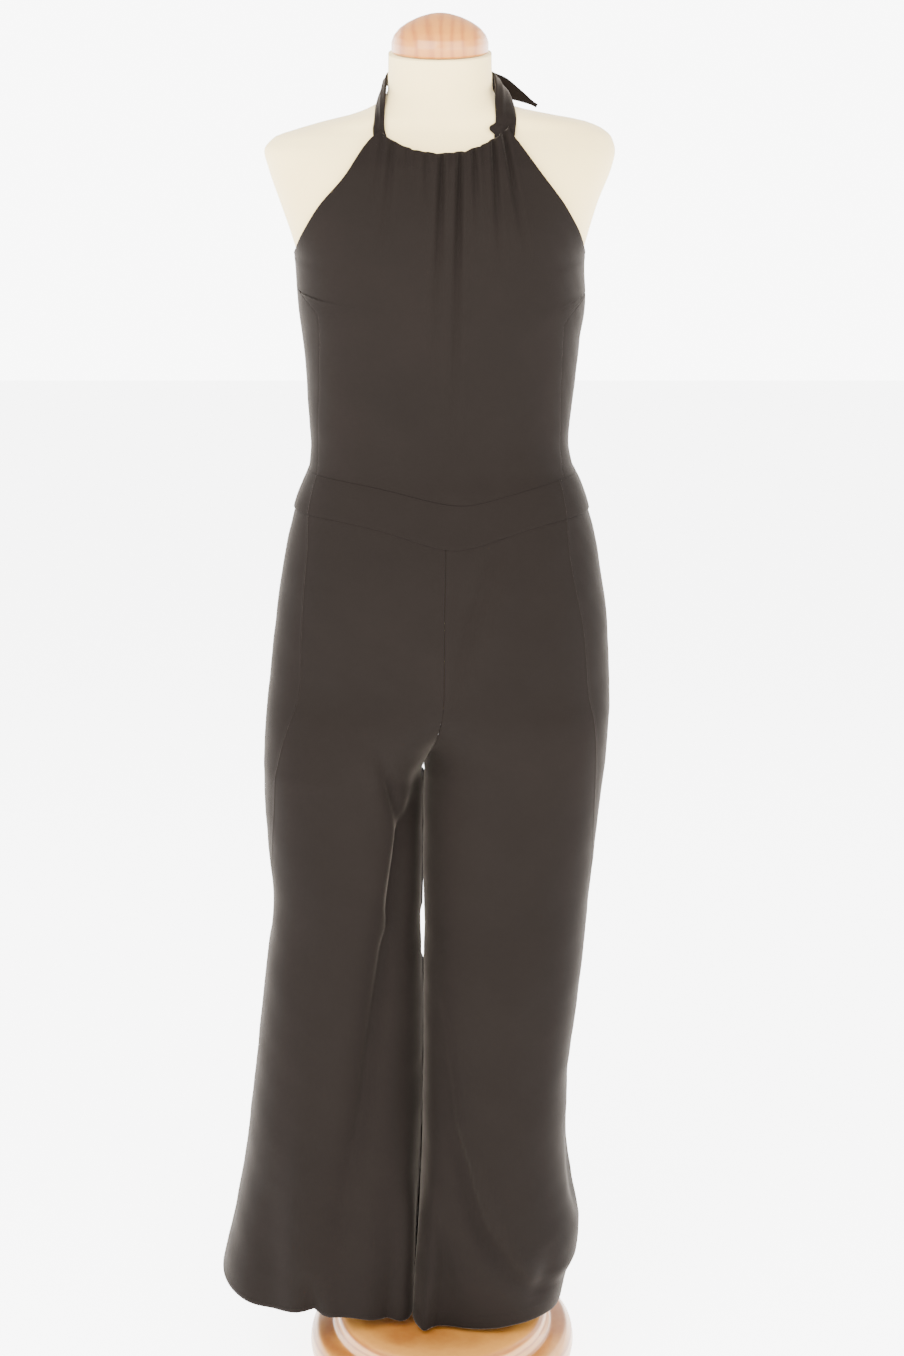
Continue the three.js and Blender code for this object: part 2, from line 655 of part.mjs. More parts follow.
const FORM_HEIGHTS = [
  FORM_FLOOR, 874, 884, 900, 950, 1010, 1070, 1114, 1150, 1200, 1260, 1310, 1352, 1385, 1414, 1440, 1458, 1472, 1482,
  1490, 1497, 1503, 1508, 1513, 1518, 1526, 1536, 1545,
];
const formRings = FORM_HEIGHTS.map((z) => {
  const ring = [];
  for (let j = 0; j < SIDES.form; j += 1) ring.push(formPoint('left', (360 * j) / SIDES.form, z));
  return ring;
});
const neckTop = formRings.at(-1).map((point) => {
  const slope = Math.tan(rad(NECK.tilt));
  return new THREE.Vector3(point.x * NECK.draw, point.y * NECK.draw, NECK.height + point.y * slope);
});
add(dressForm, 'form_torso', loft([...formRings, neckTop]), JERSEY);

const turned = (profile, sides) => {
  const outline = profile.map(({ r, z }) => new THREE.Vector2(r, z));
  const geometry = new THREE.LatheGeometry(outline, sides);
  return geometry.rotateX(Math.PI / 2);
};
const cap = add(dressForm, 'neck_cap', turned(CAP_PROFILE, SIDES.cap), PINE);
cap.rotation.x = rad(NECK.tilt);
cap.position.set(0, -NECK.capForward, NECK.height + NECK.capGap);

const poleLength = FORM_FLOOR - COLLAR.height - 2 * SEAM;
const pole = new THREE.CylinderGeometry(POLE_RADIUS, POLE_RADIUS, poleLength, SIDES.pole);
pole.rotateX(Math.PI / 2);
pole.translate(0, 0, (FORM_FLOOR + COLLAR.height) / 2);
add(dressForm, 'pole', pole, STEEL);
add(dressForm, 'base', turned(BASE_PROFILE, SIDES.base), PINE);

// ---------------------------------------------------------------- ties
const STRAP_ACROSS = 3;

for (const side of ['right', 'left']) {
  const outSign = side === 'left' ? 1 : -1;
  const outer = [];
  const inner = [];
  for (const { nearPsi, near, farPsi, far } of STRAPS[side]) {
    const line = [];
    const lining = [];
    for (let j = 0; j <= STRAP_ACROSS; j += 1) {
      const psi = mix(farPsi, nearPsi, j / STRAP_ACROSS);
      const height = mix(far, near, j / STRAP_ACROSS);
      const normal = normalOf((p, h) => formPoint(side, p, h), outSign, psi, height);
      const point = formPoint(side, psi, height);
      line.push(point.clone().addScaledVector(normal, STRAP.off + STRAP.wall));
      lining.push(point.clone().addScaledVector(normal, STRAP.off));
    }
    outer.push(line);
    inner.push(lining);
  }
  add(jumpsuit, `strap_${side}`, shell(outer, inner), CREPE);
}

for (const side of ['right', 'left']) {
  const rows = TAILS[side];
  const rings = rows.map(({ x, y, z, half }, i) => {
    const [back, ahead] = [rows[Math.max(0, i - 1)], rows[Math.min(rows.length - 1, i + 1)]];
    const along = new THREE.Vector3(ahead.x - back.x, ahead.y - back.y, ahead.z - back.z).normalize();
    const wide = new THREE.Vector3(0, 1, 0).cross(along).normalize();
    const thick = along.clone().cross(wide);
    const corner = (w, t) => new THREE.Vector3(x, y, z)
      .addScaledVector(wide, w * half)
      .addScaledVector(thick, (t * STRAP.wall) / 2);
    const { flat, edge } = TIE_CORNER;
    return [corner(-1, -edge), corner(-flat, -1), corner(flat, -1), corner(1, -edge),
      corner(1, edge), corner(flat, 1), corner(-flat, 1), corner(-1, edge)];
  });
  add(jumpsuit, `tie_end_${side}`, loft(rings), CREPE);
}

const knot = new THREE.SphereGeometry(1, SIDES.knotRound, SIDES.knotHigh);
knot.scale(KNOT.wide, KNOT.deep, KNOT.high);
knot.translate(KNOT.x, KNOT.y, KNOT.z);
add(jumpsuit, 'tie_knot', knot, CREPE);

const model = new THREE.Group();
model.add(jumpsuit, dressForm);
export default model;
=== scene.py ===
"""Halter jumpsuit on a limbless dress form: the looks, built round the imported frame.

The wearer faces -Y, so the wearer's right is -X and left is +X. Sizes of the cut are in
millimetres and every mesh is in metres.
"""
import logging
import math
from dataclasses import dataclass, field
from enum import Enum
from typing import Callable, Iterable, Sequence

import bmesh
import bpy
import numpy as np
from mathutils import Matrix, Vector


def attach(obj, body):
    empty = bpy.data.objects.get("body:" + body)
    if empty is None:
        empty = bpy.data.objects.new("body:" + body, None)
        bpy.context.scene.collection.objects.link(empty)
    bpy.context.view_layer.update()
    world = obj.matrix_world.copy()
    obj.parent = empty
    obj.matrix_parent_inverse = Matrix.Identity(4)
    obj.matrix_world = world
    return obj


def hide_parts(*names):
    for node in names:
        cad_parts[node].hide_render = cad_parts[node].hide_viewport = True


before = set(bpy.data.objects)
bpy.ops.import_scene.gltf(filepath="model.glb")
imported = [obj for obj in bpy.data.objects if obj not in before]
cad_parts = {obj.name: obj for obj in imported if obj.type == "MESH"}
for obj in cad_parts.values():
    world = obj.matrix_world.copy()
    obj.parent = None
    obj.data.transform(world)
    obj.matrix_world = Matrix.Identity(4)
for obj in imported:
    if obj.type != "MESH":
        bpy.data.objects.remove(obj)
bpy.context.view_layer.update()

LOG = logging.getLogger("jumpsuit")
MM = 0.001
BODY = "root"
Surface = Callable[[np.ndarray, np.ndarray], np.ndarray]
Colour = tuple[float, float, float, float]


class Side(Enum):
    """A side of the wearer, and the sign of its x."""

    RIGHT = -1
    LEFT = 1

    @property
    def word(self) -> str:
        """The side's name in a piece's name."""
        return self.name.lower()


class Face(Enum):
    """Which half of the garment a panel covers."""

    FRONT = "front"
    BACK = "back"


class Hold(Enum):
    """How a sheet is held."""

    HUNG = "hung"
    GATHERED = "gathered"
    STRETCHED = "stretched"


# ------------------------------------------------------------------ node helpers
class Value:
    """A node's output that takes part in Python arithmetic."""

    def __init__(self, tree: "Tree", socket: bpy.types.NodeSocket) -> None:
        """Wraps one output socket of a tree."""
        self.tree = tree
        self.socket = socket

    def _math(self, operation: str, first: object, second: object = None) -> "Value":
        """Adds a Math node.

        Args:
            operation: the Math node's operation.
            first: its first value or link.
            second: its second value or link, if it has one.

        Returns:
            The node's result.
        """
        links = {0: first} if second is None else {0: first, 1: second}
        return self.tree.node("ShaderNodeMath", {"operation": operation}, links)

    def __add__(self, other: object) -> "Value":
        """self + other."""
        return self._math("ADD", self, other)

    def __radd__(self, other: object) -> "Value":
        """other + self."""
        return self._math("ADD", other, self)

    def __sub__(self, other: object) -> "Value":
        """self - other."""
        return self._math("SUBTRACT", self, other)

    def __rsub__(self, other: object) -> "Value":
        """other - self."""
        return self._math("SUBTRACT", other, self)

    def __mul__(self, other: object) -> "Value":
        """self * other."""
        return self._math("MULTIPLY", self, other)

    def __rmul__(self, other: object) -> "Value":
        """other * self."""
        return self._math("MULTIPLY", other, self)

    def __truediv__(self, other: object) -> "Value":
        """self / other."""
        return self._math("DIVIDE", self, other)

    def __rtruediv__(self, other: object) -> "Value":
        """other / self."""
        return self._math("DIVIDE", other, self)

    def __pow__(self, other: object) -> "Value":
        """self ** other."""
        return self._math("POWER", self, other)

    def sine(self) -> "Value":
        """The sine of self, in radians."""
        return self._math("SINE", self)

    def part(self, name: str) -> "Value":
        """One of x, y and z of a vector."""
        split = self.tree.node("ShaderNodeSeparateXYZ", {}, {0: self}, output=name.upper())
        return split


class Tree:
    """A node tree being filled in."""

    def __init__(self, tree: bpy.types.NodeTree) -> None:
        """Starts on an empty tree."""
        self.tree = tree

    def node(self, kind: str, settings: dict, links: dict, output: object = 0) -> Value:
        """Adds one node.

        Args:
            kind: the node's type.
            settings: its properties, set before its sockets; ramp holds a colour ramp's stops.
            links: the value or the linked Value of each input, by name or number.
            output: the name or number of the output that is wanted.

        Returns:
            That output.
        """
        made = self.tree.nodes.new(kind)
        for name, setting in settings.items():
            if name == "ramp":
                self._fill_ramp(made.color_ramp, setting)
            else:
                setattr(made, name, setting)
        for name, link in links.items():
            if isinstance(link, Value):
                self.tree.links.new(link.socket, made.inputs[name])
            else:
                made.inputs[name].default_value = link
        return Value(self, made.outputs[output])

    @staticmethod
    def _fill_ramp(ramp: bpy.types.ColorRamp, stops: Sequence[tuple[float, Colour]]) -> None:
        """Puts a ramp's stops in place of its two first ones."""
        for place, _ in stops[2:]:
            ramp.elements.new(place)
        for element, (place, colour) in zip(ramp.elements, stops):
            element.position = place
            element.color = colour


# ------------------------------------------------------------------ finishes
MADE_FINISHES: dict[str, bpy.types.Material] = {}


@dataclass(frozen=True)
class Finish:
    """A surface finish: subclasses paint a Principled shader in their own way."""

    name: str = "finish"
    roughness: float = 0.6

    def material(self) -> bpy.types.Material:
        """Builds the material once and returns it from then on.

        The frame brings flat materials of its own, so a finish is never looked up by name.
        """
        if self.name not in MADE_FINISHES:
            made = bpy.data.materials.new(self.name)
            made.use_nodes = True
            shader = made.node_tree.nodes["Principled BSDF"]
            self.paint(Tree(made.node_tree), shader)
            MADE_FINISHES[self.name] = made
        return MADE_FINISHES[self.name]

    def paint(self, tree: Tree, shader: bpy.types.ShaderNode) -> None:
        """Fills in the shader."""
        raise NotImplementedError

    @staticmethod
    def link(tree: Tree, value: Value, shader: bpy.types.ShaderNode, socket: str) -> None:
        """Feeds one of the shader's sockets."""
        tree.tree.links.new(value.socket, shader.inputs[socket])


@dataclass(frozen=True)
class Crepe(Finish):
    """Fine black-brown crepe: pebbled threads, a faint bloom and a soft grazing sheen."""

    name: str = "woven_crepe"
    roughness: float = 0.78
    deep: Colour = (0.0057, 0.0041, 0.0033, 1.0)
    pale: Colour = (0.0084, 0.0062, 0.0051, 1.0)
    thread: float = 0.55 * MM

    def paint(self, tree: Tree, shader: bpy.types.ShaderNode) -> None:
        """Threads follow the cloth's own UV map, which is in metres; the bloom is in space."""
        uv = tree.node("ShaderNodeUVMap", {"uv_map": "cloth"}, {})
        place = tree.node("ShaderNodeTexCoord", {}, {}, output="Object")
        wander = tree.node("ShaderNodeTexNoise", {}, {"Vector": uv, "Scale": 420.0, "Detail": 2.0},
                           output="Fac")
        turn = 2 * math.pi / self.thread
        warp = (uv.part("x") * turn + wander * 5.0).sine()
        weft = (uv.part("y") * turn + wander * 6.5).sine()
        pebble = tree.node("ShaderNodeTexNoise", {}, {"Vector": uv, "Scale": 1500.0, "Detail": 3.0},
                           output="Fac")
        weave = warp * weft * 0.25 + pebble
        bloom = tree.node(
            "ShaderNodeTexNoise", {}, {"Vector": place, "Scale": 7.0, "Detail": 5.0, "Roughness": 0.6},
            output="Fac"
        )
        colour = tree.node("ShaderNodeValToRGB", {"ramp": [(0.3, self.deep), (0.75, self.pale)]},
                           {"Fac": bloom * 0.6 + weave * 0.4})
        self.link(tree, colour, shader, "Base Color")
        self.link(tree, self.roughness + (bloom - 0.5) * 0.14, shader, "Roughness")
        drape = tree.node("ShaderNodeTexNoise", {}, {"Vector": place, "Scale": 34.0, "Detail": 3.0},
                          output="Fac")
        coarse = tree.node("ShaderNodeBump", {}, {"Strength": 0.10, "Distance": 2.0 * MM, "Height": drape})
        fine = tree.node("ShaderNodeBump", {},
                         {"Strength": 0.35, "Distance": 0.12 * MM, "Height": weave, "Normal": coarse})
        self.link(tree, fine, shader, "Normal")
        shader.inputs["Specular IOR Level"].default_value = 0.04
        shader.inputs["Sheen Weight"].default_value = 0.125
        shader.inputs["Sheen Roughness"].default_value = 0.30
        shader.inputs["Sheen Tint"].default_value = (1.0, 0.86, 0.72, 1.0)


@dataclass(frozen=True)
class Jersey(Finish):
    """Cream cotton jersey, pulled smooth: upright wales, small loops and a slight fuzz."""

    name: str = "knitted_jersey"
    roughness: float = 0.85
    shade: Colour = (0.66, 0.50, 0.22, 1.0)
    light: Colour = (0.79, 0.63, 0.31, 1.0)
    wale: float = 1.1 * MM

    def paint(self, tree: Tree, shader: bpy.types.ShaderNode) -> None:
        """Wales and courses follow the UV map; the tone drifts gently in space."""
        uv = tree.node("ShaderNodeUVMap", {"uv_map": "cloth"}, {})
        place = tree.node("ShaderNodeTexCoord", {}, {}, output="Object")
        turn = 2 * math.pi / self.wale
        wales = (uv.part("x") * turn).sine()
        courses = (uv.part("y") * (turn * 1.25) + wales * 1.2).sine()
        fuzz = tree.node("ShaderNodeTexNoise", {}, {"Vector": uv, "Scale": 900.0, "Detail": 3.0},
                         output="Fac")
        knit = wales * 0.3 + courses * 0.15 + fuzz
        tone = tree.node("ShaderNodeTexNoise", {}, {"Vector": place, "Scale": 5.0, "Detail": 4.0},
                         output="Fac")
        ramp = [(0.3, self.shade), (0.7, self.light)]
        colour = tree.node("ShaderNodeValToRGB", {"ramp": ramp}, {"Fac": tone * 0.7 + knit * 0.3})
        self.link(tree, colour, shader, "Base Color")
        self.link(tree, self.roughness + (fuzz - 0.5) * 0.1, shader, "Roughness")
        bump = tree.node("ShaderNodeBump", {}, {"Strength": 0.3, "Distance": 0.15 * MM, "Height": knit})
        self.link(tree, bump, shader, "Normal")
        shader.inputs["Sheen Weight"].default_value = 0.2
        shader.inputs["Specular IOR Level"].default_value = 0.25


@dataclass(frozen=True)
class LacqueredPine(Finish):
    """Turned pine under clear gloss lacquer. along is the axis that its boards are stacked on."""

    name: str = "pine"
    roughness: float = 0.32
    along: str = "z"
    board: float = 5.0 * MM
    lacquer: float = 0.5
    early: Colour = (0.46, 0.20, 0.036, 1.0)
    late: Colour = (0.26, 0.083, 0.011, 1.0)

    def paint(self, tree: Tree, shader: bpy.types.ShaderNode) -> None:
        """Growth rings are bands across the boards, bent by a long slow noise."""
        place = tree.node("ShaderNodeTexCoord", {}, {}, output="Object")
        stretch = (2.5, 2.5, 14.0) if self.along == "z" else (16.0, 6.0, 3.0)
        mapped = tree.node("ShaderNodeMapping", {}, {"Vector": place, "Scale": stretch})
        slow = tree.node("ShaderNodeTexNoise", {}, {"Vector": mapped, "Scale": 1.6, "Detail": 3.0},
                         output="Fac")
        pores = tree.node("ShaderNodeTexNoise", {}, {"Vector": mapped, "Scale": 42.0, "Detail": 4.0},
                          output="Fac")
        across = place.part(self.along) / self.board
        rings = (across * (2 * math.pi) + slow * 16.0).sine() * 0.5 + 0.5
        grain = rings ** 2.2 * 0.55 + pores * 0.35 + slow * 0.25
        ramp = [(0.25, self.early), (0.95, self.late)]
        colour = tree.node("ShaderNodeValToRGB", {"ramp": ramp}, {"Fac": grain})
        self.link(tree, colour, shader, "Base Color")
        self.link(tree, self.roughness + pores * 0.1, shader, "Roughness")
        bump = tree.node("ShaderNodeBump", {}, {"Strength": 0.12, "Distance": 0.2 * MM, "Height": grain})
        self.link(tree, bump, shader, "Normal")
        shader.inputs["Coat Weight"].default_value = self.lacquer
        shader.inputs["Coat Roughness"].default_value = 0.06


@dataclass(frozen=True)
class PolishedSteel(Finish):
    """Polished tube with fine drawn lines round it."""

    name: str = "drawn_steel"
    roughness: float = 0.2

    def paint(self, tree: Tree, shader: bpy.types.ShaderNode) -> None:
        """The drawn lines run along the tube."""
        place = tree.node("ShaderNodeTexCoord", {}, {}, output="Object")
        mapped = tree.node("ShaderNodeMapping", {}, {"Vector": place, "Scale": (600.0, 600.0, 6.0)})
        lines = tree.node("ShaderNodeTexNoise", {}, {"Vector": mapped, "Scale": 1.0, "Detail": 3.0},
                          output="Fac")
        ramp = [(0.2, (0.52, 0.53, 0.55, 1.0)), (0.8, (0.66, 0.67, 0.68, 1.0))]
        self.link(tree, tree.node("ShaderNodeValToRGB", {"ramp": ramp}, {"Fac": lines}), shader, "Base Color")
        self.link(tree, self.roughness + lines * 0.12, shader, "Roughness")
        shader.inputs["Metallic"].default_value = 1.0


@dataclass(frozen=True)
class Thread(Finish):
    """Sewing thread: two twisted plies with a slight lustre."""

    name: str = "sewing_thread"
    roughness: float = 0.55
    colour: Colour = (0.0105, 0.0080, 0.0068, 1.0)

    def paint(self, tree: Tree, shader: bpy.types.ShaderNode) -> None:
        """The plies are slanted bands in space; painted shade darkens the grooves between them, where the
        bump is lowest.
        """
        place = tree.node("ShaderNodeTexCoord", {}, {}, output="Object")
        slant = (place.part("x") + place.part("z")) * (2 * math.pi / (0.5 * MM))
        plies = slant.sine() * 0.5 + 0.5
        # painted shade: the thread's colour falls to 0.6 of itself in the grooves between the plies
        groove_shade = tuple(0.6 * part for part in self.colour[:3]) + (1.0,)
        ramp = [(0.0, groove_shade), (1.0, self.colour)]
        self.link(tree, tree.node("ShaderNodeValToRGB", {"ramp": ramp}, {"Fac": plies}), shader, "Base Color")
        bump = tree.node("ShaderNodeBump", {}, {"Strength": 0.4, "Distance": 0.1 * MM, "Height": plies})
        self.link(tree, bump, shader, "Normal")
        shader.inputs["Roughness"].default_value = self.roughness
        shader.inputs["Specular IOR Level"].default_value = 0.06


@dataclass(frozen=True)
class Studio(Finish):
    """Matt white paper of the floor and backdrop."""

    name: str = "paper"
    roughness: float = 0.9
    colour: Colour = (0.88, 0.88, 0.88, 1.0)
    glow: float = 6.0

    def paint(self, tree: Tree, shader: bpy.types.ShaderNode) -> None:
        """A plain colour: this isn't part of the object."""
        shader.inputs["Base Color"].default_value = self.colour
        shader.inputs["Roughness"].default_value = self.roughness
        shader.inputs["Emission Color"].default_value = self.colour
        shader.inputs["Emission Strength"].default_value = self.glow


CREPE = Crepe()
JERSEY = Jersey()
CAP_PINE = LacqueredPine(
    name="pine_cap", along="x", board=11.0 * MM, lacquer=0.28,
    early=(0.42, 0.155, 0.018, 1.0), late=(0.30, 0.090, 0.009, 1.0),
)
BASE_PINE = LacqueredPine(name="pine_base", along="z", board=9.0 * MM)
STEEL = PolishedSteel()
THREAD = Thread()
PAPER = Studio()


# ------------------------------------------------------------------ smooth tables
class Profile:
    """Named columns against height, joined by smooth curves that never overshoot the rows."""

    def __init__(self, columns: str, rows: Sequence[Sequence[float]]) -> None:
        """Sorts the rows by their z column."""
        names = columns.split()
        data = np.array(sorted(rows, key=lambda row: row[names.index("z")]), dtype=float)
        self.z = data[:, names.index("z")]
        self.columns = {name: data[:, i] for i, name in enumerate(names)}

    def __call__(self, column: str, z: np.ndarray | float) -> np.ndarray:
        """The column's value at each height.

        Args:
            column: the column's name.
            z: heights, in the table's units.

        Returns:
            An array as long as z.
        """
        knots, values = self.z, self.columns[column]
        z = np.clip(np.asarray(z, dtype=float), knots[0], knots[-1])
        slopes = np.diff(values) / np.diff(knots)
        before, after = slopes[:-1], slopes[1:]
        turn = before * after > 0
        middle = np.where(turn, 2 * before * after / np.where(turn, before + after, 1.0), 0.0)
        tangents = np.concatenate([slopes[:1], middle, slopes[-1:]])
        k = np.clip(np.searchsorted(knots, z, side="right") - 1, 0, len(knots) - 2)
        h = knots[k + 1] - knots[k]
        t = (z - knots[k]) / h
        a, b = values[k], values[k + 1]
        ta, tb = tangents[k] * h, tangents[k + 1] * h
        return a + t * ta + t**2 * (3 * (b - a) - 2 * ta - tb) + t**3 * (2 * (a - b) + ta + tb)


def mix(a: object, b: object, t: object) -> object:
    """The value a share t of the way from a to b."""
    return a + (b - a) * t


def smooth(t: np.ndarray) -> np.ndarray:
    """An ease-in, ease-out curve from 0 to 1."""
    t = np.clip(t, 0.0, 1.0)
    return t * t * (3 - 2 * t)


@dataclass
class Oval:
    """Level sections of the body or a leg. a and b are the reaches to each side of mid."""

    ROUND = 2.3

    mid: np.ndarray
    a: np.ndarray
    b: np.ndarray
    front: np.ndarray
    back: np.ndarray
    side: np.ndarray

    def point(self, psi: np.ndarray) -> np.ndarray:
        """x and y at psi: 0 is the front, 90 the a side, -90 the b side and 180 the back."""
        sine, cosine = np.sin(np.radians(psi)), np.cos(np.radians(psi))
        s = np.sign(sine) * np.abs(sine) ** (2 / self.ROUND)
        c = np.sign(cosine) * np.abs(cosine) ** (2 / self.ROUND)
        x = np.where(s >= 0, self.mid + (self.a - self.mid) * s, self.mid - (self.b - self.mid) * s)
        y = np.where(c >= 0, self.side + (self.front - self.side) * c,
                     self.side - (self.back - self.side) * c)
        return np.stack([x, y], axis=-1)

    def outward(self, psi: np.ndarray) -> np.ndarray:
        """Level outward direction at psi."""
        step = self.point(psi + 0.5) - self.point(psi - 0.5)
        normal = np.stack([step[..., 1], -step[..., 0]], axis=-1)
        normal /= np.linalg.norm(normal, axis=-1, keepdims=True) + 1e-12
        return normal * np.sign(self.a - self.mid)[..., None]

    def angle(self, x: np.ndarray) -> np.ndarray:
        """The psi at which the front passes x."""
        own = np.sign(x - self.mid) == np.sign(self.a - self.mid)
        reach = np.where(own, self.a, self.b)
        share = np.clip(np.abs((x - self.mid) / (reach - self.mid)), 0.0, 1.0)
        psi = np.degrees(np.arcsin(share ** (self.ROUND / 2)))
        return np.where(own, psi, -psi)


# ------------------------------------------------------------------ the cut
class Trunk:
    """The body of the garment above the fork."""

    FRONT_PEAK = 1486.0
    ROWS = Profile("z mid right left front back", [
        (1490, 3, -146, 166, -70, 70), (1481, 3, -177, 183, -78, 78), (1465, 3, -189, 188, -89, 87),
        (1450, 3, -186, 185, -99, 94), (1414, 3, -174, 172, -114, 103), (1385, 3, -164, 163, -121, 106),
        (1352, 3, -154.5, 154, -125, 107), (1310, 3, -153, 155.5, -122, 104), (1267, 3, -148, 150, -113, 98),
        (1224, 4, -145, 145.5, -104, 93), (1180, 4, -143, 141, -97, 88), (1158, 5, -142, 140, -95, 87),
        (1136, 5, -143.5, 143.5, -95, 88), (1114, 6, -151, 153, -98, 93), (1092, 6, -158, 160, -101, 99),
        (1047, 6, -170, 172, -106, 110), (1001, 5, -179, 180, -109, 118), (955, 4.5, -185, 186, -110, 122),
        (900, 4, -192, 189.5, -109, 122), (861, 4, -197, 191, -107, 118), (838, 4, -199.5, 190, -105, 115),
        (814, 4, -201, 189, -103, 112), (789, 4, -202, 187, -101, 110),
    ])
    # gathers from the neckline: x at the top, foot at height z, depth and half-width
    GATHERS = (
        (-58, -66, 1410, 1.8, 3.8), (-47, -60, 1335, 3.2, 5.2), (-33, -32, 1425, 2.0, 3.6),
        (-24, -24, 1440, 1.6, 3.0), (-15, -11, 1402, 3.8, 3.8), (-6, -6, 1445, 1.6, 2.8),
        (3, -5, 1215, 6.2, 4.6), (12, 11, 1445, 1.6, 2.8), (21, 14, 1120, 6.2, 4.8),
        (26, 28, 1436, 2.8, 3.0), (34, 40, 1362, 4.6, 3.8), (44, 46, 1440, 1.8, 3.0),
        (54, 64, 1318, 5.2, 4.2), (65, 93, 1342, 5.2, 4.4),
    )

    @classmethod
    def section(cls, side: Side, z: np.ndarray) -> Oval:
        """The trunk's sections with the a side on the named side."""
        names = ("left", "right") if side is Side.LEFT else ("right", "left")
        a, b = (cls.ROWS(name, z) for name in names)
        return Oval(cls.ROWS("mid", z), a, b, cls.ROWS("front", z), cls.ROWS("back", z), np.zeros_like(a))

    @classmethod
    def gather(cls, x: np.ndarray, z: np.ndarray) -> np.ndarray:
        """How far the gathers push a point in; the cloth between two of them puffs out a little."""
        depth = np.zeros_like(x)
        for top, foot, low, deep, width in cls.GATHERS:
            t = np.maximum((cls.FRONT_PEAK - z) / (cls.FRONT_PEAK - low), 0.0)
            away = (x - mix(top, foot, t)) / (width * mix(0.55, 1.1, t))
            fade = np.where(t < 1, 1 - smooth(t), 0.0)
            depth += deep * fade * (np.exp(-(away**2)) - 0.25 * np.exp(-((np.abs(away) - 1.9) ** 2)))
        return depth

    @classmethod
    def point(cls, side: Side, psi: np.ndarray, z: np.ndarray) -> np.ndarray:
        """Points of the worn surface at psi and z."""
        section = cls.section(side, z)
        flat = section.point(psi)
        push = np.where(np.cos(np.radians(psi)) > 0, cls.gather(flat[..., 0], z), 0.0)
        push = push + DRAPE.trunk(flat[..., 0], flat[..., 1], z)
        flat = flat - section.outward(psi) * push[..., None]
        return np.concatenate([flat, z[..., None]], axis=-1)


@dataclass(frozen=True)
class Ripple:
    """A soft trough or ridge whose middle follows knots of z, place, depth and width.

    Its place is an x on the front or back, or a y on a side.
    """

    face: str
    knots: tuple[tuple[float, float, float, float], ...]
    tuck: bool = False

    def depth(self, x: np.ndarray, y: np.ndarray, z: np.ndarray, facing: np.ndarray,
              sideways: np.ndarray) -> np.ndarray:
        """How far the cloth is pushed in.

        Args:
            x: each point's x.
            y: each point's y.
            z: each point's height.
            facing: 1 where the cloth faces forwards, -1 where it faces back.
            sideways: 1 where the cloth faces its own outer side, -1 where it faces the other leg.

        Returns:
            The depth in millimetres, negative for a ridge.
        """
        path = Profile("z place depth width", self.knots)
        shown = {"front": facing, "back": -facing, "outer": sideways, "inner": -sideways}[self.face]
        place = x if self.face in ("front", "back") else y
        away = (place - path("place", z)) / path("width", z)
        shape = 1 / (1 + np.exp(1.6 * away)) if self.tuck else np.exp(-(away**2))
        seen = np.clip(1.6 * shown, 0.0, 1.0) ** 2
        return np.where(z <= self.knots[0][0], path("depth", z) * shape * seen, 0.0)


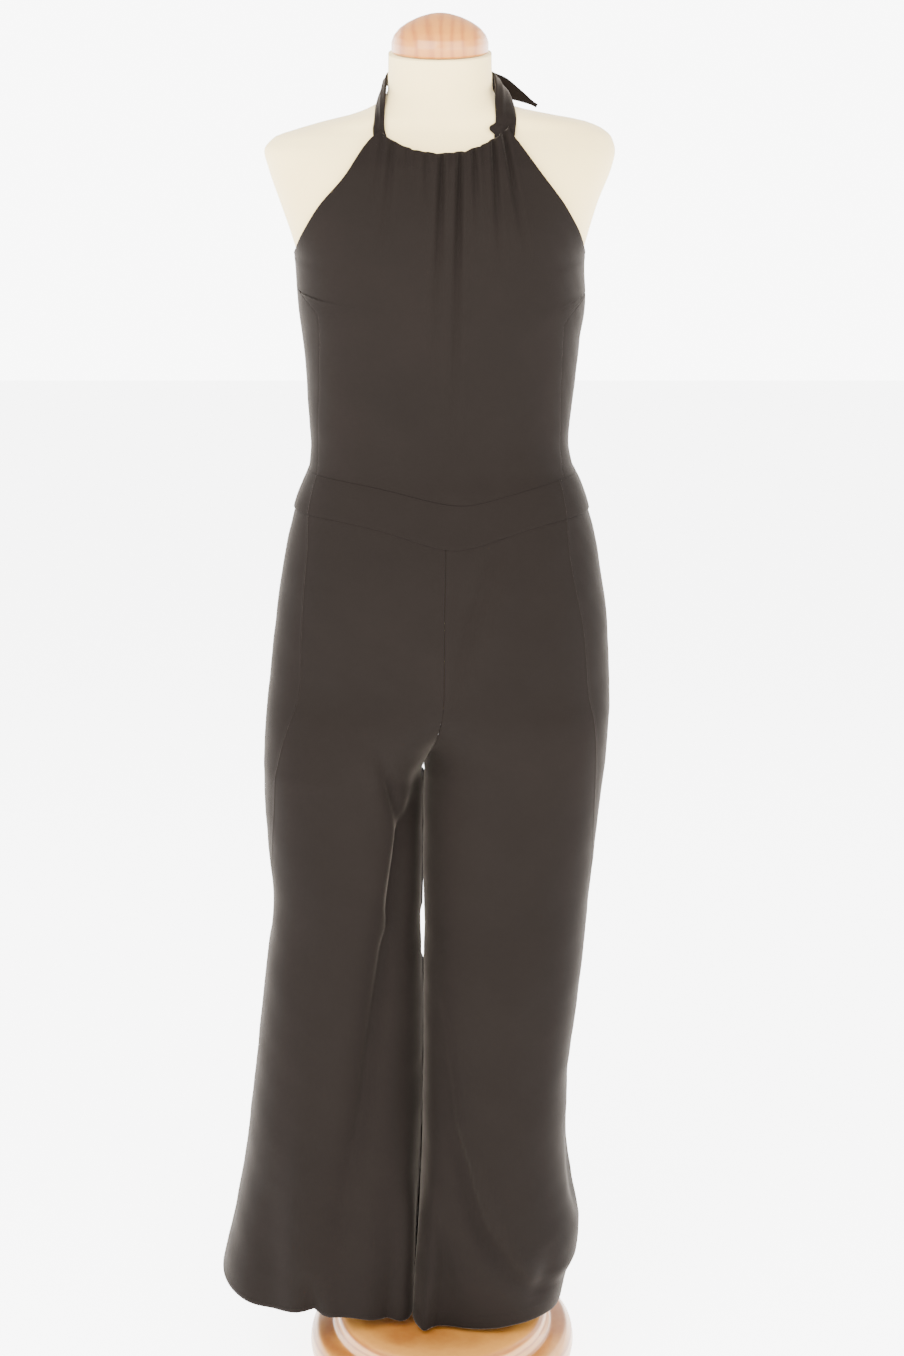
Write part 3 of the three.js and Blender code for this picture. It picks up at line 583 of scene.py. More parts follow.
class Drape:
    """Every listed ripple of the garment, by the part that it is on."""

    TRUNK = (
        # soft slack above the waistband and under the arms
        Ripple("front", ((1215, -78, 0, 14), (1180, -70, 1.4, 15), (1140, -60, 0, 14))),
        Ripple("front", ((1225, 86, 0, 13), (1185, 80, 1.6, 15), (1142, 70, 0, 14))),
        Ripple("back", ((1215, -60, 0, 14), (1175, -52, 2.2, 15), (1135, -48, 0, 14))),
        Ripple("back", ((1222, 58, 0, 14), (1178, 50, 2.0, 16), (1136, 44, 0, 14))),
    )
    RIGHT = (
        # the long fold from the fork down the front
        Ripple("front", ((812, -20, 0, 8), (770, -24, 8, 11), (701, -39, 12, 15), (618, -51, 13, 19),
                         (493, -72, 13, 24), (374, -90, 12, 28), (301, -105, 11, 31), (220, -117, 9, 34),
                         (98, -132, 5, 38))),
        Ripple("front", ((812, -20, 0, 5), (770, -24, 4, 6.5), (701, -39, 5.5, 7.5), (618, -51, 6, 8.5),
                         (493, -72, 6, 9.5), (374, -90, 5.5, 11), (301, -105, 4, 12), (220, -117, 3, 13),
                         (98, -132, 1, 16))),
        # the short crease that joins it, and its raised lip
        Ripple("front", ((842, -70, 0, 5), (812, -62, 4, 5.5), (776, -52, 7, 6), (742, -44, 6, 7),
                         (700, -38, 0, 8))),
        Ripple("front", ((840, -84, 0, 10), (790, -72, -3, 11), (720, -62, 0, 12))),
        # the pinch beside the long fold
        Ripple("front", ((640, -62, 0, 7), (612, -56, -4, 7), (585, -62, 0, 8))),
        # the cave at the hem and the flutes beside it
        Ripple("front", ((178, -158, 0, 8), (146, -156, 7, 9), (122, -154, 14, 10), (98, -152, 19, 10))),
        Ripple("front", ((330, -196, 0, 18), (230, -204, 4, 20), (98, -206, 7, 20))),
        Ripple("front", ((420, -158, 0, 16), (260, -166, -4, 18), (98, -176, -1, 16))),
        Ripple("front", ((300, -86, 0, 12), (200, -84, -4, 14), (98, -90, -7, 16))),
        Ripple("front", ((260, -56, 0, 9), (180, -54, 4, 10), (98, -62, 6, 11))),
        # thigh and knee slack
        Ripple("front", ((1010, -120, 0, 18), (930, -128, 1.6, 22), (850, -136, 0, 20))),
        Ripple("front", ((700, -150, 0, 20), (620, -158, 2.2, 24), (520, -166, 0, 22))),
        Ripple("outer", ((700, 4, 0, 18), (640, 2, 3.5, 20), (575, 6, 0, 18))),
        # the back
        Ripple("back", ((770, -42, 0, 10), (640, -62, 14, 13), (400, -98, 20, 18), (98, -128, 16, 26))),
        Ripple("back", ((560, -150, 0, 13), (330, -178, 10, 17), (98, -196, 14, 21))),
        Ripple("back", ((842, -96, 0, 12), (800, -84, 4, 12), (740, -70, 0, 12))),
        Ripple("back", ((900, -30, 0, 9), (850, -40, 3.4, 10), (800, -46, 0, 10))),
        Ripple("back", ((260, -232, 0, 11), (150, -238, -6, 13), (98, -240, -8, 14))),
        Ripple("back", ((190, -70, 0, 9), (130, -72, 7, 10), (98, -72, 10, 10))),
        Ripple("outer", ((320, 56, 0, 16), (200, 58, 5, 18), (98, 64, 8, 18))),
        # the inner front bulges against the other leg at the hem
        Ripple("inner", ((280, -50, 0, 22), (200, -50, -5, 22), (95, -50, -6, 22))),
    )
    # how deep and how wide each leg gives where the two lean on each other
    LEAN = {Side.RIGHT: (-4.5, 9.0), Side.LEFT: (5.3, 12.0)}
    # where they lean, above and below the short gap, as z, y and the share of that depth
    LEAN_HIGH = ((776, 34, 0), (764, 34, 1), (604, 34, 1), (590, 34, 0))
    LEAN_LOW = ((541, 36, 0), (526, 36, 1), (387, 36, 1), (380, 36, 0), (373, 36, 1), (259, 36, 1),
                (253, 36, 0),
                (247, 36, 1), (98, 36, 1))
    LEFT = (
        # the fold that sweeps across the front towards the side
        Ripple("front", ((570, -8, 0, 9), (500, -3, 2, 10), (430, 3, 4.5, 11), (374, 8, 7, 11),
                         (316, 24, 9.5, 11),
                         (252, 41, 10.5, 12), (205, 66, 9, 12.5), (165, 94, 4, 14), (140, 118, 0, 14))),
        Ripple("front", ((360, 36, 0, 12), (290, 54, -4, 14), (220, 82, -4, 14), (160, 118, 0, 14))),
        # the tucked-back inner front beside its standing edge
        Ripple("front", ((400, -23, 0, 7), (350, -21, 5, 8), (284, -16, 9, 10), (243, -5, 11, 11),
                         (192, 12, 11, 13), (133, 30, 7, 16), (95, 39, 3, 20)), tuck=True),
        # the drag line from the waistband towards the fork
        Ripple("front", ((1078, 66, 0, 7), (1040, 54, 2.6, 8), (980, 35, 3.2, 8.5), (925, 22, 2.8, 8.5),
                         (868, 11, 0, 8))),
        Ripple("front", ((1060, 84, 0, 12), (990, 62, -1.8, 13), (900, 38, 0, 13))),
        # slack at the thigh, the knee and above the base
        Ripple("front", ((880, 96, 0, 18), (800, 90, 2, 22), (700, 92, 0, 20))),
        Ripple("front", ((560, 110, 0, 16), (450, 104, 3, 20), (330, 108, 0, 18))),
        Ripple("front", ((215, 128, 0, 12), (165, 124, 5, 13), (125, 112, 0, 13))),
        Ripple("outer", ((330, -10, 0, 16), (262, -14, 4, 18), (205, -8, 0, 16))),
        Ripple("outer", ((182, 14, 0, 13), (150, 10, 6, 14), (120, 6, 0, 14))),
        # the back
        Ripple("back", ((780, 20, 0, 11), (600, 38, 10, 14), (330, 62, 16, 17), (95, 78, 12, 22))),
        Ripple("back", ((480, 0, 0, 11), (300, 4, 9, 13), (95, 10, 12, 15))),
        Ripple("back", ((842, 62, 0, 12), (800, 50, 4, 12), (744, 36, 0, 12))),
        Ripple("back", ((900, 26, 0, 9), (850, 30, 3.2, 10), (806, 30, 0, 10))),
        Ripple("back", ((240, 112, 0, 12), (170, 116, 6, 13), (120, 104, 0, 14))),
        Ripple("back", ((205, 40, 0, 13), (170, 48, -5, 13), (130, 40, 0, 13))),
        # the inner front bulges against the other leg at the hem
        Ripple("inner", ((280, -50, 0, 22), (200, -50, -5, 22), (95, -50, -6, 22))),
    )

    @staticmethod
    def slack(x: np.ndarray, y: np.ndarray, z: np.ndarray) -> np.ndarray:
        """The small unevenness of any hung cloth: long slow waves that never repeat alike."""
        run = 0.35 * np.sin(0.031 * z + 0.047 * x + 0.6) * np.sin(0.052 * x - 0.013 * z + 1.1)
        run += 0.25 * np.sin(0.083 * z - 0.038 * y + 2.0) * np.sin(0.071 * x + 0.017 * z)
        return run + 0.12 * np.sin(0.19 * z + 0.11 * y) * np.sin(0.14 * x + 0.09 * y + 0.4)

    def trunk(self, x: np.ndarray, y: np.ndarray, z: np.ndarray) -> np.ndarray:
        """How far the trunk's ripples push a point in."""
        facing = np.where(y < 0, 1.0, -1.0)
        depth = self.slack(x, y, z)
        for ripple in self.TRUNK:
            depth = depth + ripple.depth(x, y, z, facing, np.zeros_like(x))
        return depth

    def leg(self, side: Side, x: np.ndarray, y: np.ndarray, z: np.ndarray, psi: np.ndarray) -> np.ndarray:
        """How far a leg's ripples push a point in."""
        facing, sideways = np.cos(np.radians(psi)), np.sin(np.radians(psi))
        depth = self.slack(x, y, z)
        for ripple in self.RIGHT if side is Side.RIGHT else self.LEFT:
            depth = depth + ripple.depth(x, y, z, facing, sideways)
        deep, width = self.LEAN[side]
        for run in (self.LEAN_HIGH, self.LEAN_LOW):
            rows = tuple((height, place, deep * whole, width) for height, place, whole in run)
            depth = depth + Ripple("inner", rows).depth(x, y, z, facing, sideways)
        return depth


DRAPE = Drape()


class Leg:
    """The two legs, and the fork that joins them."""

    HIP = 900.0
    CROTCH = 789.0
    HEM = {Side.RIGHT: 98.0, Side.LEFT: 95.0}
    FORK = Profile("z seam lean past", [
        (900, 4, 0, 186), (880, 3, 13, 147), (860, 0, 42, 60), (840, -5, 63, 27), (820, -11, 77, 9),
        (805, -15.5, 83.5, 3.5), (789, -20, 90, 0),
    ])
    BELOW = {
        Side.RIGHT: (
            (781, -110, -202, -23.4, -100, 109, 0), (765, -110, -202, -21.4, -99, 108, 1),
            (692, -112, -200, -22.4, -94, 104, 4), (635, -114, -196, -23.6, -91, 101, 7),
            (590, -116, -199, -24.2, -89, 100, 10), (542, -120, -206, -23.2, -88, 99, 12),
            (491, -124, -212, -22.8, -87, 98, 15), (387, -131, -225, -23.2, -86, 97, 21),
            (280, -138, -240, -26.4, -85, 98, 29), (198, -146, -256, -30, -84, 100, 36),
            (142, -151, -270, -32.6, -83, 102, 41), (98, -155, -278, -34, -82, 104, 45),
        ),
        Side.LEFT: (
            (781, 72, 186, -19.2, -100, 109, 0), (765, 74, 184.5, -20, -99, 108, 0),
            (692, 76, 177, -20.8, -95, 106, 1), (618, 76, 170.5, -20.4, -92, 104, 2),
            (590, 75, 169, -20.2, -92, 104, 3), (542, 73, 165, -21.2, -92, 104, 4),
            (491, 70, 160, -21.4, -92, 103, 5), (387, 66, 150, -22, -93, 103, 6),
            (333, 64, 150, -23.2, -94, 104, 7), (253, 64, 159, -26.2, -95, 105, 8),
            (198, 64, 168, -28.8, -95, 105, 8), (170, 63, 166, -30.2, -93, 103, 8),
            (142, 60, 155, -31.4, -88, 99, 8), (95, 57, 146, -32.8, -79, 91, 8),
        ),
    }

    # how far each hem hangs above its lowest level, against x, and the heights it fades out between
    RISE = {
        Side.RIGHT: Profile("z rise", [(-278, 24), (-240, 22), (-205, 20), (-175, 22), (-160, 19),
                                       (-146, 12), (-110, 11), (-70, 5), (-34, 0)]),
        Side.LEFT: Profile("z rise", [(-33, 0), (20, 0), (60, 2), (95, 7), (120, 8), (146, 4)]),
    }
    RISE_FROM = 300.0
    RISE_OVER = 200.0
    # the inner front corner stands forward towards the hem: reach, middle psi and half-width
    CORNER = (42.0, -64.0, 19.0)
    CORNER_FROM = 420.0
    CORNER_OVER = 300.0

    def __init__(self, side: Side) -> None:
        """Joins the fork's rows, which take the trunk's sizes, to the leg's own."""
        self.side = side
        rows = []
        for z, seam, lean, past in zip(self.FORK.z,
                                       *(self.FORK.columns[name] for name in ("seam", "lean", "past"))):
            trunk = Trunk.section(side, np.array([z]))
            reach = (float(trunk.a[0]), float(trunk.front[0]), float(trunk.back[0]))
            rows.append((z, seam + side.value * lean, reach[0], seam - side.value * past, reach[1], reach[2],
                         0.0))
        self.rows = Profile("z mid out in front back side", [*rows, *self.BELOW[side]])

    def section(self, z: np.ndarray) -> Oval:
        """The leg's sections; above the hip they are the trunk's."""
        trunk = Trunk.section(self.side, z)
        own = [self.rows(name, z) for name in ("mid", "out", "in", "front", "back", "side")]
        above = z >= self.HIP
        whole = (trunk.mid, trunk.a, trunk.b, trunk.front, trunk.back, trunk.side)
        return Oval(*(np.where(above, high, low) for high, low in zip(whole, own)))

    def rise(self, level: np.ndarray, psi: np.ndarray) -> np.ndarray:
        """How far a row is lifted towards the hem, which hangs higher at its outer front."""
        x = self.section(level).point(psi)[..., 0]
        return smooth((self.RISE_FROM - level) / self.RISE_OVER) * self.RISE[self.side]("rise", x)

    def corner(self, psi: np.ndarray, z: np.ndarray) -> np.ndarray:
        """How far the inner front stands forward of the plain oval."""
        reach, middle, width = self.CORNER
        low = smooth((self.CORNER_FROM - z) / self.CORNER_OVER)
        return reach * low * np.exp(-(((psi - middle) / width) ** 2))

    def point(self, psi: np.ndarray, z: np.ndarray) -> np.ndarray:
        """Points of the worn surface at psi and z."""
        section = self.section(z)
        flat = section.point(psi)
        flat[..., 1] -= self.corner(psi, z)
        push = DRAPE.leg(self.side, flat[..., 0], flat[..., 1], z, psi)
        flat = flat - section.outward(psi) * push[..., None]
        return np.concatenate([flat, z[..., None]], axis=-1)

    def inner(self, face: Face, z: np.ndarray) -> np.ndarray:
        """psi of the inner edge: the centre seam above the fork, the inseam below it."""
        seam = np.where(z >= self.HIP, Trunk.ROWS("mid", z), self.FORK("seam", z))
        front = np.where(z >= self.HIP, 0.0, self.section(z).angle(seam))
        front = np.where(z <= self.CROTCH, -90.0, front)
        return front if face is Face.FRONT else -180.0 - front


class Seams:
    """Where the panels end: seams, edges and the waistband's dip."""

    BAND_LOW = (1088.0, 30.5, 15.0, 72.0)
    BAND_TOP = (1129.5, 25.0, 20.0, 75.0)
    # the waistband's dip: how blunt its middle is, and what sets its depth right there
    DIP_BLUNT = 0.2
    DIP_SHIFT = 0.04
    DIP_LIFT = 0.064
    CORNER = 1491.0
    NECK_DROP = 25.0
    BACK_TOP = {Side.RIGHT: 1332.0, Side.LEFT: 1322.0}
    BACK_MIDDLE = 1236.0
    EDGE = Profile("z right left", [
        (1486, -61.5, 72), (1479, -71, 78), (1442, -97.5, 106.5), (1412, -124.5, 129.5), (1385, -142, 145),
        (1368, -151, 151.5), (1350, -159, 157), (1332, -159, 159), (1322, -148, 158), (1312, -137, 149),
        (1300, -127, 136), (1288, -126, 129), (1230, -128, 128), (1180, -131, 129), (1104, -133, 131),
    ])
    SIDE = Profile("z right left", [
        (1135, 66, 57), (1090, 62, 54), (1046, 56, 51), (951, 53, 55), (847, 50, 57), (757, 55, 63),
        (635, 76, 80), (560, 88, 88), (95, 90, 90),
    ])

    @classmethod
    def side(cls, side: Side, z: np.ndarray) -> np.ndarray:
        """psi of the side seam, or of the armhole edge above it."""
        z = np.asarray(z, dtype=float)
        high = Trunk.section(side, z).angle(cls.EDGE(side.word, z))
        return np.where(z <= cls.BAND_TOP[0], cls.SIDE(side.word, z), high)

    @classmethod
    def band(cls, edge: tuple[float, float, float, float], side: Side, psi: np.ndarray) -> np.ndarray:
        """Height of an edge of the waistband, which dips at the front."""
        level, drop, middle, spread = edge
        x = Trunk.section(side, np.full_like(psi, level)).point(psi)[..., 0]
        away = np.hypot((x - middle) / spread, cls.DIP_BLUNT) - cls.DIP_SHIFT
        dip = drop * np.exp(-(away**1.5) + cls.DIP_LIFT)
        return np.where(np.cos(np.radians(psi)) < 0, level, level - dip)

    @classmethod
    def across_front(cls, level: np.ndarray, s: np.ndarray) -> np.ndarray:
        """psi across the whole front, from the left side to the right."""
        left = mix(cls.side(Side.LEFT, level), 0.0, 2 * s)
        right = mix(0.0, -cls.side(Side.RIGHT, level), 2 * s - 1)
        return np.where(s < 0.5, left, right)


# ------------------------------------------------------------------ mesh helpers
def new_object(name: str, points: np.ndarray, faces: Iterable[Sequence[int]],
               finish: Finish) -> bpy.types.Object:
    """Makes a smooth-shaded mesh object at the origin.

    Args:
        name: the piece's name.
        points: its vertices in metres, one a row.
        faces: vertex numbers of each face.
        finish: its material.

    Returns:
        The object.
    """
    mesh = bpy.data.meshes.new(name)
    mesh.from_pydata(np.asarray(points).tolist(), [], [list(map(int, face)) for face in faces])
    mesh.materials.append(finish.material())
    mesh.polygons.foreach_set("use_smooth", np.ones(len(mesh.polygons), dtype=bool))
    made = bpy.data.objects.new(name, mesh)
    bpy.context.scene.collection.objects.link(made)
    return made


def lay_uv(made: bpy.types.Object, uv: np.ndarray) -> None:
    """Gives every vertex its place in the cloth, in metres, as the map named cloth."""
    layer = made.data.uv_layers.new(name="cloth")
    corners = np.empty(len(made.data.loops), dtype=np.int64)
    made.data.loops.foreach_get("vertex_index", corners)
    layer.data.foreach_set("uv", uv[corners].astype(np.float32).ravel())


def grid_faces(rows: int, columns: int, closed: bool = False) -> np.ndarray:
    """Quads of a grid of rows by columns of points, joined round if closed."""
    wrap = columns if closed else columns - 1
    i, j = np.meshgrid(np.arange(rows - 1), np.arange(wrap), indexing="ij")
    k = (j + 1) % columns
    quads = np.stack([i * columns + j, i * columns + k, (i + 1) * columns + k, (i + 1) * columns + j],
                     axis=-1)
    return quads.reshape(-1, 4)


def crowded(steps: int, crowd: float = 0.72) -> np.ndarray:
    """Shares from 0 to 1 that stand closer together at both ends, where the seams are."""
    u = np.linspace(0.0, 1.0, steps + 1)
    return u - crowd * np.sin(2 * math.pi * u) / (2 * math.pi)


def lengths(grid: np.ndarray, axis: int) -> np.ndarray:
    """Running length along one axis of a grid of points."""
    step = np.linalg.norm(np.diff(grid, axis=axis), axis=-1)
    start = np.zeros_like(np.take(step, [0], axis=axis))
    return np.concatenate([start, np.cumsum(step, axis=axis)], axis=axis)


def normals_of(surface: Surface, psi: np.ndarray, z: np.ndarray, sign: int) -> np.ndarray:
    """Outward directions of a surface of psi and z."""
    across = surface(psi + 0.3, z) - surface(psi - 0.3, z)
    up = surface(psi, z + 0.8) - surface(psi, z - 0.8)
    normal = np.cross(across, up) * sign
    return normal / (np.linalg.norm(normal, axis=-1, keepdims=True) + 1e-12)


def solidify(made: bpy.types.Object, wall: float) -> None:
    """Gives cloth its wall, inwards from its outer face."""
    modifier = made.modifiers.new("wall", "SOLIDIFY")
    modifier.thickness = wall
    modifier.offset = -1.0
    modifier.use_even_offset = False
    modifier.use_rim = True


@dataclass(frozen=True)
class Allowance:
    """Cloth that the cut has beyond what shows, in millimetres, and the cloth taken up by gathers.

    side is for each side edge, top and foot for the two ends. fullness is how many times wider than
    its worn width the cut is at its top edge, and gather_reach how far down that extra width fades.
    """

    side: float = 10.0
    top: float = 10.0
    foot: float = 10.0
    fullness: float = 1.0
    gather_reach: float = 110.0

    def cut(self, grid: np.ndarray, whole: bool) -> tuple[tuple[float, float], float]:
        """Works out the flat cut of a worn panel.

        Args:
            grid: the panel's worn surface in millimetres, its rows from one end to the other.
            whole: True for the whole cut with what the seams and hems hide, False for what shows.

        Returns:
            The cut's width and length in metres, and its area in square metres.
        """
        side, top, foot = (self.side, self.top, self.foot) if whole else (0.0, 0.0, 0.0)
        across = lengths(grid, 1)[:, -1]
        sideways = np.gradient(grid, axis=1)[:-1]
        sideways /= np.linalg.norm(sideways, axis=-1, keepdims=True) + 1e-12
        step = np.diff(grid, axis=0)
        step = step - (step * sideways).sum(axis=-1, keepdims=True) * sideways
        along = np.linalg.norm(step, axis=-1).sum(axis=0)
        ends = sorted((0, -1), key=lambda row: grid[row, :, 2].mean())
        below = np.abs(grid[ends[1], :, 2].mean() - grid[:, :, 2].mean(axis=1))
        full = across * (1 + (self.fullness - 1) * np.maximum(0.0, 1 - below / self.gather_reach) ** 2)
        a, b, c, d = grid[:-1, :-1], grid[1:, :-1], grid[1:, 1:], grid[:-1, 1:]
        quads = np.linalg.norm(np.cross(c - a, d - b), axis=-1) / 2
        share = (full / across)[:-1, None]
        area = float((quads * share).sum())
        area += 2 * side * float(along.mean()) + top * float(full[ends[1]]) + foot * float(full[ends[0]])
        width = float(full.max()) + 2 * side
        length = float(along.max()) + top + foot
        return (width * MM, length * MM), min(area, width * length) * MM * MM


@dataclass
class Panel:
    """One cut panel of crepe: a fine grid over a worn surface, with rolled edges at its seams.

    level gives each row's height at the side edge, psi and z lay the row out, and edge_roll is
    how far the cloth turns in at its first column, last column, first row and last row.
    """

    name: str
    side: Side
    surface: Surface
    levels: np.ndarray
    psi: Callable[[np.ndarray, np.ndarray], np.ndarray]
    z: Callable[[np.ndarray, np.ndarray], np.ndarray]
    columns: int
    hold: Hold
    allowance: Allowance
    rests_on: tuple[str, ...] = ()
    proud: float = 0.0
    edge_roll: tuple[float, float, float, float] = (0.8, 0.8, 0.8, 0.8)
    wall: float = 1.2
    grid: np.ndarray = field(default_factory=lambda: np.zeros(0))
    normals: np.ndarray = field(default_factory=lambda: np.zeros(0))

    GAP = 0.06
    ROLL_WIDTH = 2.2
    TUCK_UNDER = 1.6

    def build(self) -> bpy.types.Object:
        """Makes the panel and its wall, attaches it to the body and logs its sizes."""
        level, share = np.meshgrid(self.levels, crowded(self.columns), indexing="ij")
        psi, z = self.psi(level, share), self.z(level, share)
        points = self.surface(psi, z)
        normal = normals_of(self.surface, psi, z, self.side.value)
        for j, towards in ((0, 1), (-1, -2)):
            step = points[:, towards] - points[:, j]
            points[:, j] += step / (np.linalg.norm(step, axis=-1, keepdims=True) + 1e-9) * self.GAP
        across, along = lengths(points, 1), lengths(points, 0)
        edges = (across, across[:, -1:] - across, along, along[-1:] - along)
        push = np.full(psi.shape, self.proud)
        for depth, away in zip(self.edge_roll, edges):
            push -= depth * np.exp(-((away / self.ROLL_WIDTH) ** 2))
        points = points + normal * push[..., None]
        self.grid, self.normals = points, normal
        made = self._mesh(points, across, along)
        solidify(made, self.wall * MM)
        self._declare(made)
        return made

    def _mesh(self, points: np.ndarray, across: np.ndarray, along: np.ndarray) -> bpy.types.Object:
        """The outer face, wound so that it faces out."""
        faces = grid_faces(*points.shape[:2])
        a, b, c = (points.reshape(-1, 3)[faces[:, k]] for k in (0, 1, 2))
        outward = (np.cross(b - a, c - a) * self.normals.reshape(-1, 3)[faces[:, 0]]).sum()
        if outward < 0:
            faces = faces[:, ::-1]
        made = new_object(f"crepe_{self.name}", points.reshape(-1, 3) * MM, faces, CREPE)
        uv = np.stack([across, along], axis=-1).reshape(-1, 2) * MM
        lay_uv(made, uv)
        return made

    def _declare(self, made: bpy.types.Object) -> None:
        """Attaches the panel to the body, hides the node that it stands for and logs its name and the size it
        was cut to.
        """
        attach(made, BODY)
        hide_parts(self.name)
        flat, area = self.allowance.cut(self.grid, whole=False)
        LOG.info("%s: %d faces, shows %.3f x %.3f m, %.4f m2", self.name, len(made.data.polygons), *flat,
                 area)
        flat, area = self.allowance.cut(self.grid, whole=True)
        LOG.info("%s: whole cut %.3f x %.3f m, %.4f m2", self.name, *flat, area)

    def line(self, row: int | None = None, column: int | None = None, lift: float = 0.15) -> np.ndarray:
        """Points along a row or a column of the panel, lifted off it, in millimetres."""
        if row is not None:
            return self.grid[row] + self.normals[row] * lift
        return self.grid[:, column] + self.normals[:, column] * lift


# ------------------------------------------------------------------ the garment
@dataclass
class Legs:
    """Four leg panels from the waistband to the hems."""

    columns: int = 84
    rows: int = 190
    flat_below: float = 940.0
    hem_turn: float = 30.0
    panels: dict = field(default_factory=dict)

    def build(self) -> None:
        """Makes both legs."""
        for side in Side:
            leg = Leg(side)
            for face in Face:
                self.panels[side, face] = self._panel(side, face, leg)

    def _panel(self, side: Side, face: Face, leg: Leg) -> Panel:
        """Makes one leg panel.

        Args:
            side: the wearer's side.
            face: front or back.
            leg: the leg's surface.

        Returns:
            The panel, built.
        """
        top = Seams.BAND_LOW[0]

        def psi(level: np.ndarray, s: np.ndarray) -> np.ndarray:
            """Spreads a row from the side seam to the inner edge."""
            start = Seams.side(side, level) - (0.0 if face is Face.FRONT else 360.0)
            return mix(start, leg.inner(face, level), s)

        def z(level: np.ndarray, s: np.ndarray) -> np.ndarray:
            """Dips the top rows with the waistband."""
            edge = Seams.band(Seams.BAND_LOW, side, psi(np.full_like(level, top), s)) + Panel.TUCK_UNDER
            share = np.maximum(0.0, (level - self.flat_below) / (top - self.flat_below))
            return level + share * (edge - top) + leg.rise(level, psi(level, s))

        made = Panel(
            name=f"leg_{side.word}_{face.value}", side=side, surface=leg.point,
            levels=top - (top - Leg.HEM[side]) * crowded(self.rows), psi=psi, z=z, columns=self.columns,
            hold=Hold.HUNG, allowance=Allowance(foot=self.hem_turn), rests_on=("jersey_torso",),
            edge_roll=(-0.35, 0.18, 0.45, 0.8),
        )
        made.build()
        return made


@dataclass
class Waistband:
    """A shaped band: one front that dips in the middle, and two plain backs."""

    columns: int = 84
    rows: int = 22
    proud: float = 0.3
    flare: float = 1.8

    def build(self) -> None:
        """Makes the three pieces of the band."""
        self._piece("waistband_front", Side.LEFT, Seams.across_front, 2 * self.columns)
        for side in Side:
            def across(level: np.ndarray, s: np.ndarray, side: Side = side) -> np.ndarray:
                """Spreads a row from the side seam to the centre back."""
                return mix(Seams.side(side, level), 180.0, s)
            self._piece(f"waistband_back_{side.word}", side, across, self.columns)

    def _piece(self, name: str, side: Side, psi: Callable, columns: int) -> None:
        """Makes one piece of the band between its two edges."""
        low_level, top_level = Seams.BAND_LOW[0], Seams.BAND_TOP[0]

        def z(level: np.ndarray, s: np.ndarray) -> np.ndarray:
            """Runs from the lower edge to the upper one."""
            share = (level - low_level) / (top_level - low_level)
            low = Seams.band(Seams.BAND_LOW, side, psi(np.full_like(level, low_level), s)) + Panel.GAP
            high = Seams.band(Seams.BAND_TOP, side, psi(np.full_like(level, top_level), s)) - Panel.GAP
            return mix(low, high, share)

        def surface(turn: np.ndarray, height: np.ndarray) -> np.ndarray:
            """The trunk's worn surface, stood off at the sides where the band's foot flares."""
            points = Trunk.point(side, turn, height)
            foot = smooth((top_level - height) / (top_level - low_level))
            out = self.flare * foot * np.abs(np.sin(np.radians(turn))) ** 6
            points[..., :2] += Trunk.section(side, height).outward(turn) * out[..., None]
            return points

        made = Panel(
            name=name, side=side, surface=surface, levels=mix(low_level, top_level, crowded(self.rows)),
            psi=psi,
            z=z, columns=columns, hold=Hold.HUNG, allowance=Allowance(), rests_on=("jersey_torso",),
            proud=self.proud, edge_roll=(-0.2, 0.18 if "back" in name else -0.2, 0.14, 0.10),
        )
        made.build()


@dataclass
class Bodice:
    """The gathered halter front and two low backs."""

    columns: int = 140
    rows: int = 118
    floor_reach: float = 150.0
    casing: float = 22.0
    fullness: float = 1.5
    panels: dict = field(default_factory=dict)

    def build(self) -> None:
        """Makes the front and the backs."""
        self._piece("bodice_front", Side.LEFT, Seams.across_front, 2 * self.columns, Seams.CORNER,
                    self._neckline, Hold.GATHERED, Allowance(top=2 * self.casing, fullness=self.fullness))
        for side in Side:
            def across(level: np.ndarray, s: np.ndarray, side: Side = side) -> np.ndarray:
                """Spreads a row from the side seam to the centre back."""
                return mix(Seams.side(side, level), 180.0, s)

            def top(s: np.ndarray, side: Side = side) -> np.ndarray:
                """The low curved top edge."""
                return mix(Seams.BACK_TOP[side], Seams.BACK_MIDDLE, smooth(np.minimum(1.0, s * 1.15)))
            self._piece(f"bodice_back_{side.word}", side, across, self.columns, Seams.BACK_TOP[side],
                        top, Hold.HUNG, Allowance(top=12.0))

    @staticmethod
    def _neckline(s: np.ndarray) -> np.ndarray:
        """The front's top edge: it dips between its corners and is drawn down in each gather."""
        edge = Seams.CORNER - Seams.NECK_DROP * np.sin(math.pi * np.clip(s, 0.0, 1.0)) ** 1.3
        x = mix(72.0, -61.5, s)
        drawn = np.maximum(0.0, Trunk.gather(x, np.full_like(x, Seams.CORNER)))
        return edge - 0.2 * drawn * np.sin(math.pi * s) ** 0.5

    def _piece(self, name: str, side: Side, psi: Callable, columns: int, top_level: float,
               top: Callable, hold: Hold, allowance: Allowance) -> None:
        """Makes one bodice panel between the waistband and its top edge."""
        base = Seams.BAND_TOP[0]

        def z(level: np.ndarray, s: np.ndarray) -> np.ndarray:
            """Follows the waistband at the foot and the edge at the top."""
            floor = Seams.band(Seams.BAND_TOP, side, psi(np.full_like(level, base), s)) - Panel.TUCK_UNDER
            dip = np.maximum(0.0, 1 - (level - base) / self.floor_reach)
            share = (level - base) / (top_level - base)
            return level + dip * (floor - base) + share * (top(s) - top_level)

        def surface(turn: np.ndarray, height: np.ndarray) -> np.ndarray:
            """The trunk's worn surface."""
            return Trunk.point(side, turn, height)

        made = Panel(
            name=name, side=side, surface=surface, levels=mix(base, top_level, crowded(self.rows)), psi=psi,
            z=z,
            columns=columns, hold=hold, allowance=allowance, rests_on=("jersey_torso",),
            edge_roll=(0.12, 0.12, 0.45, 0.9),
        )
        made.build()
        self.panels[name] = made


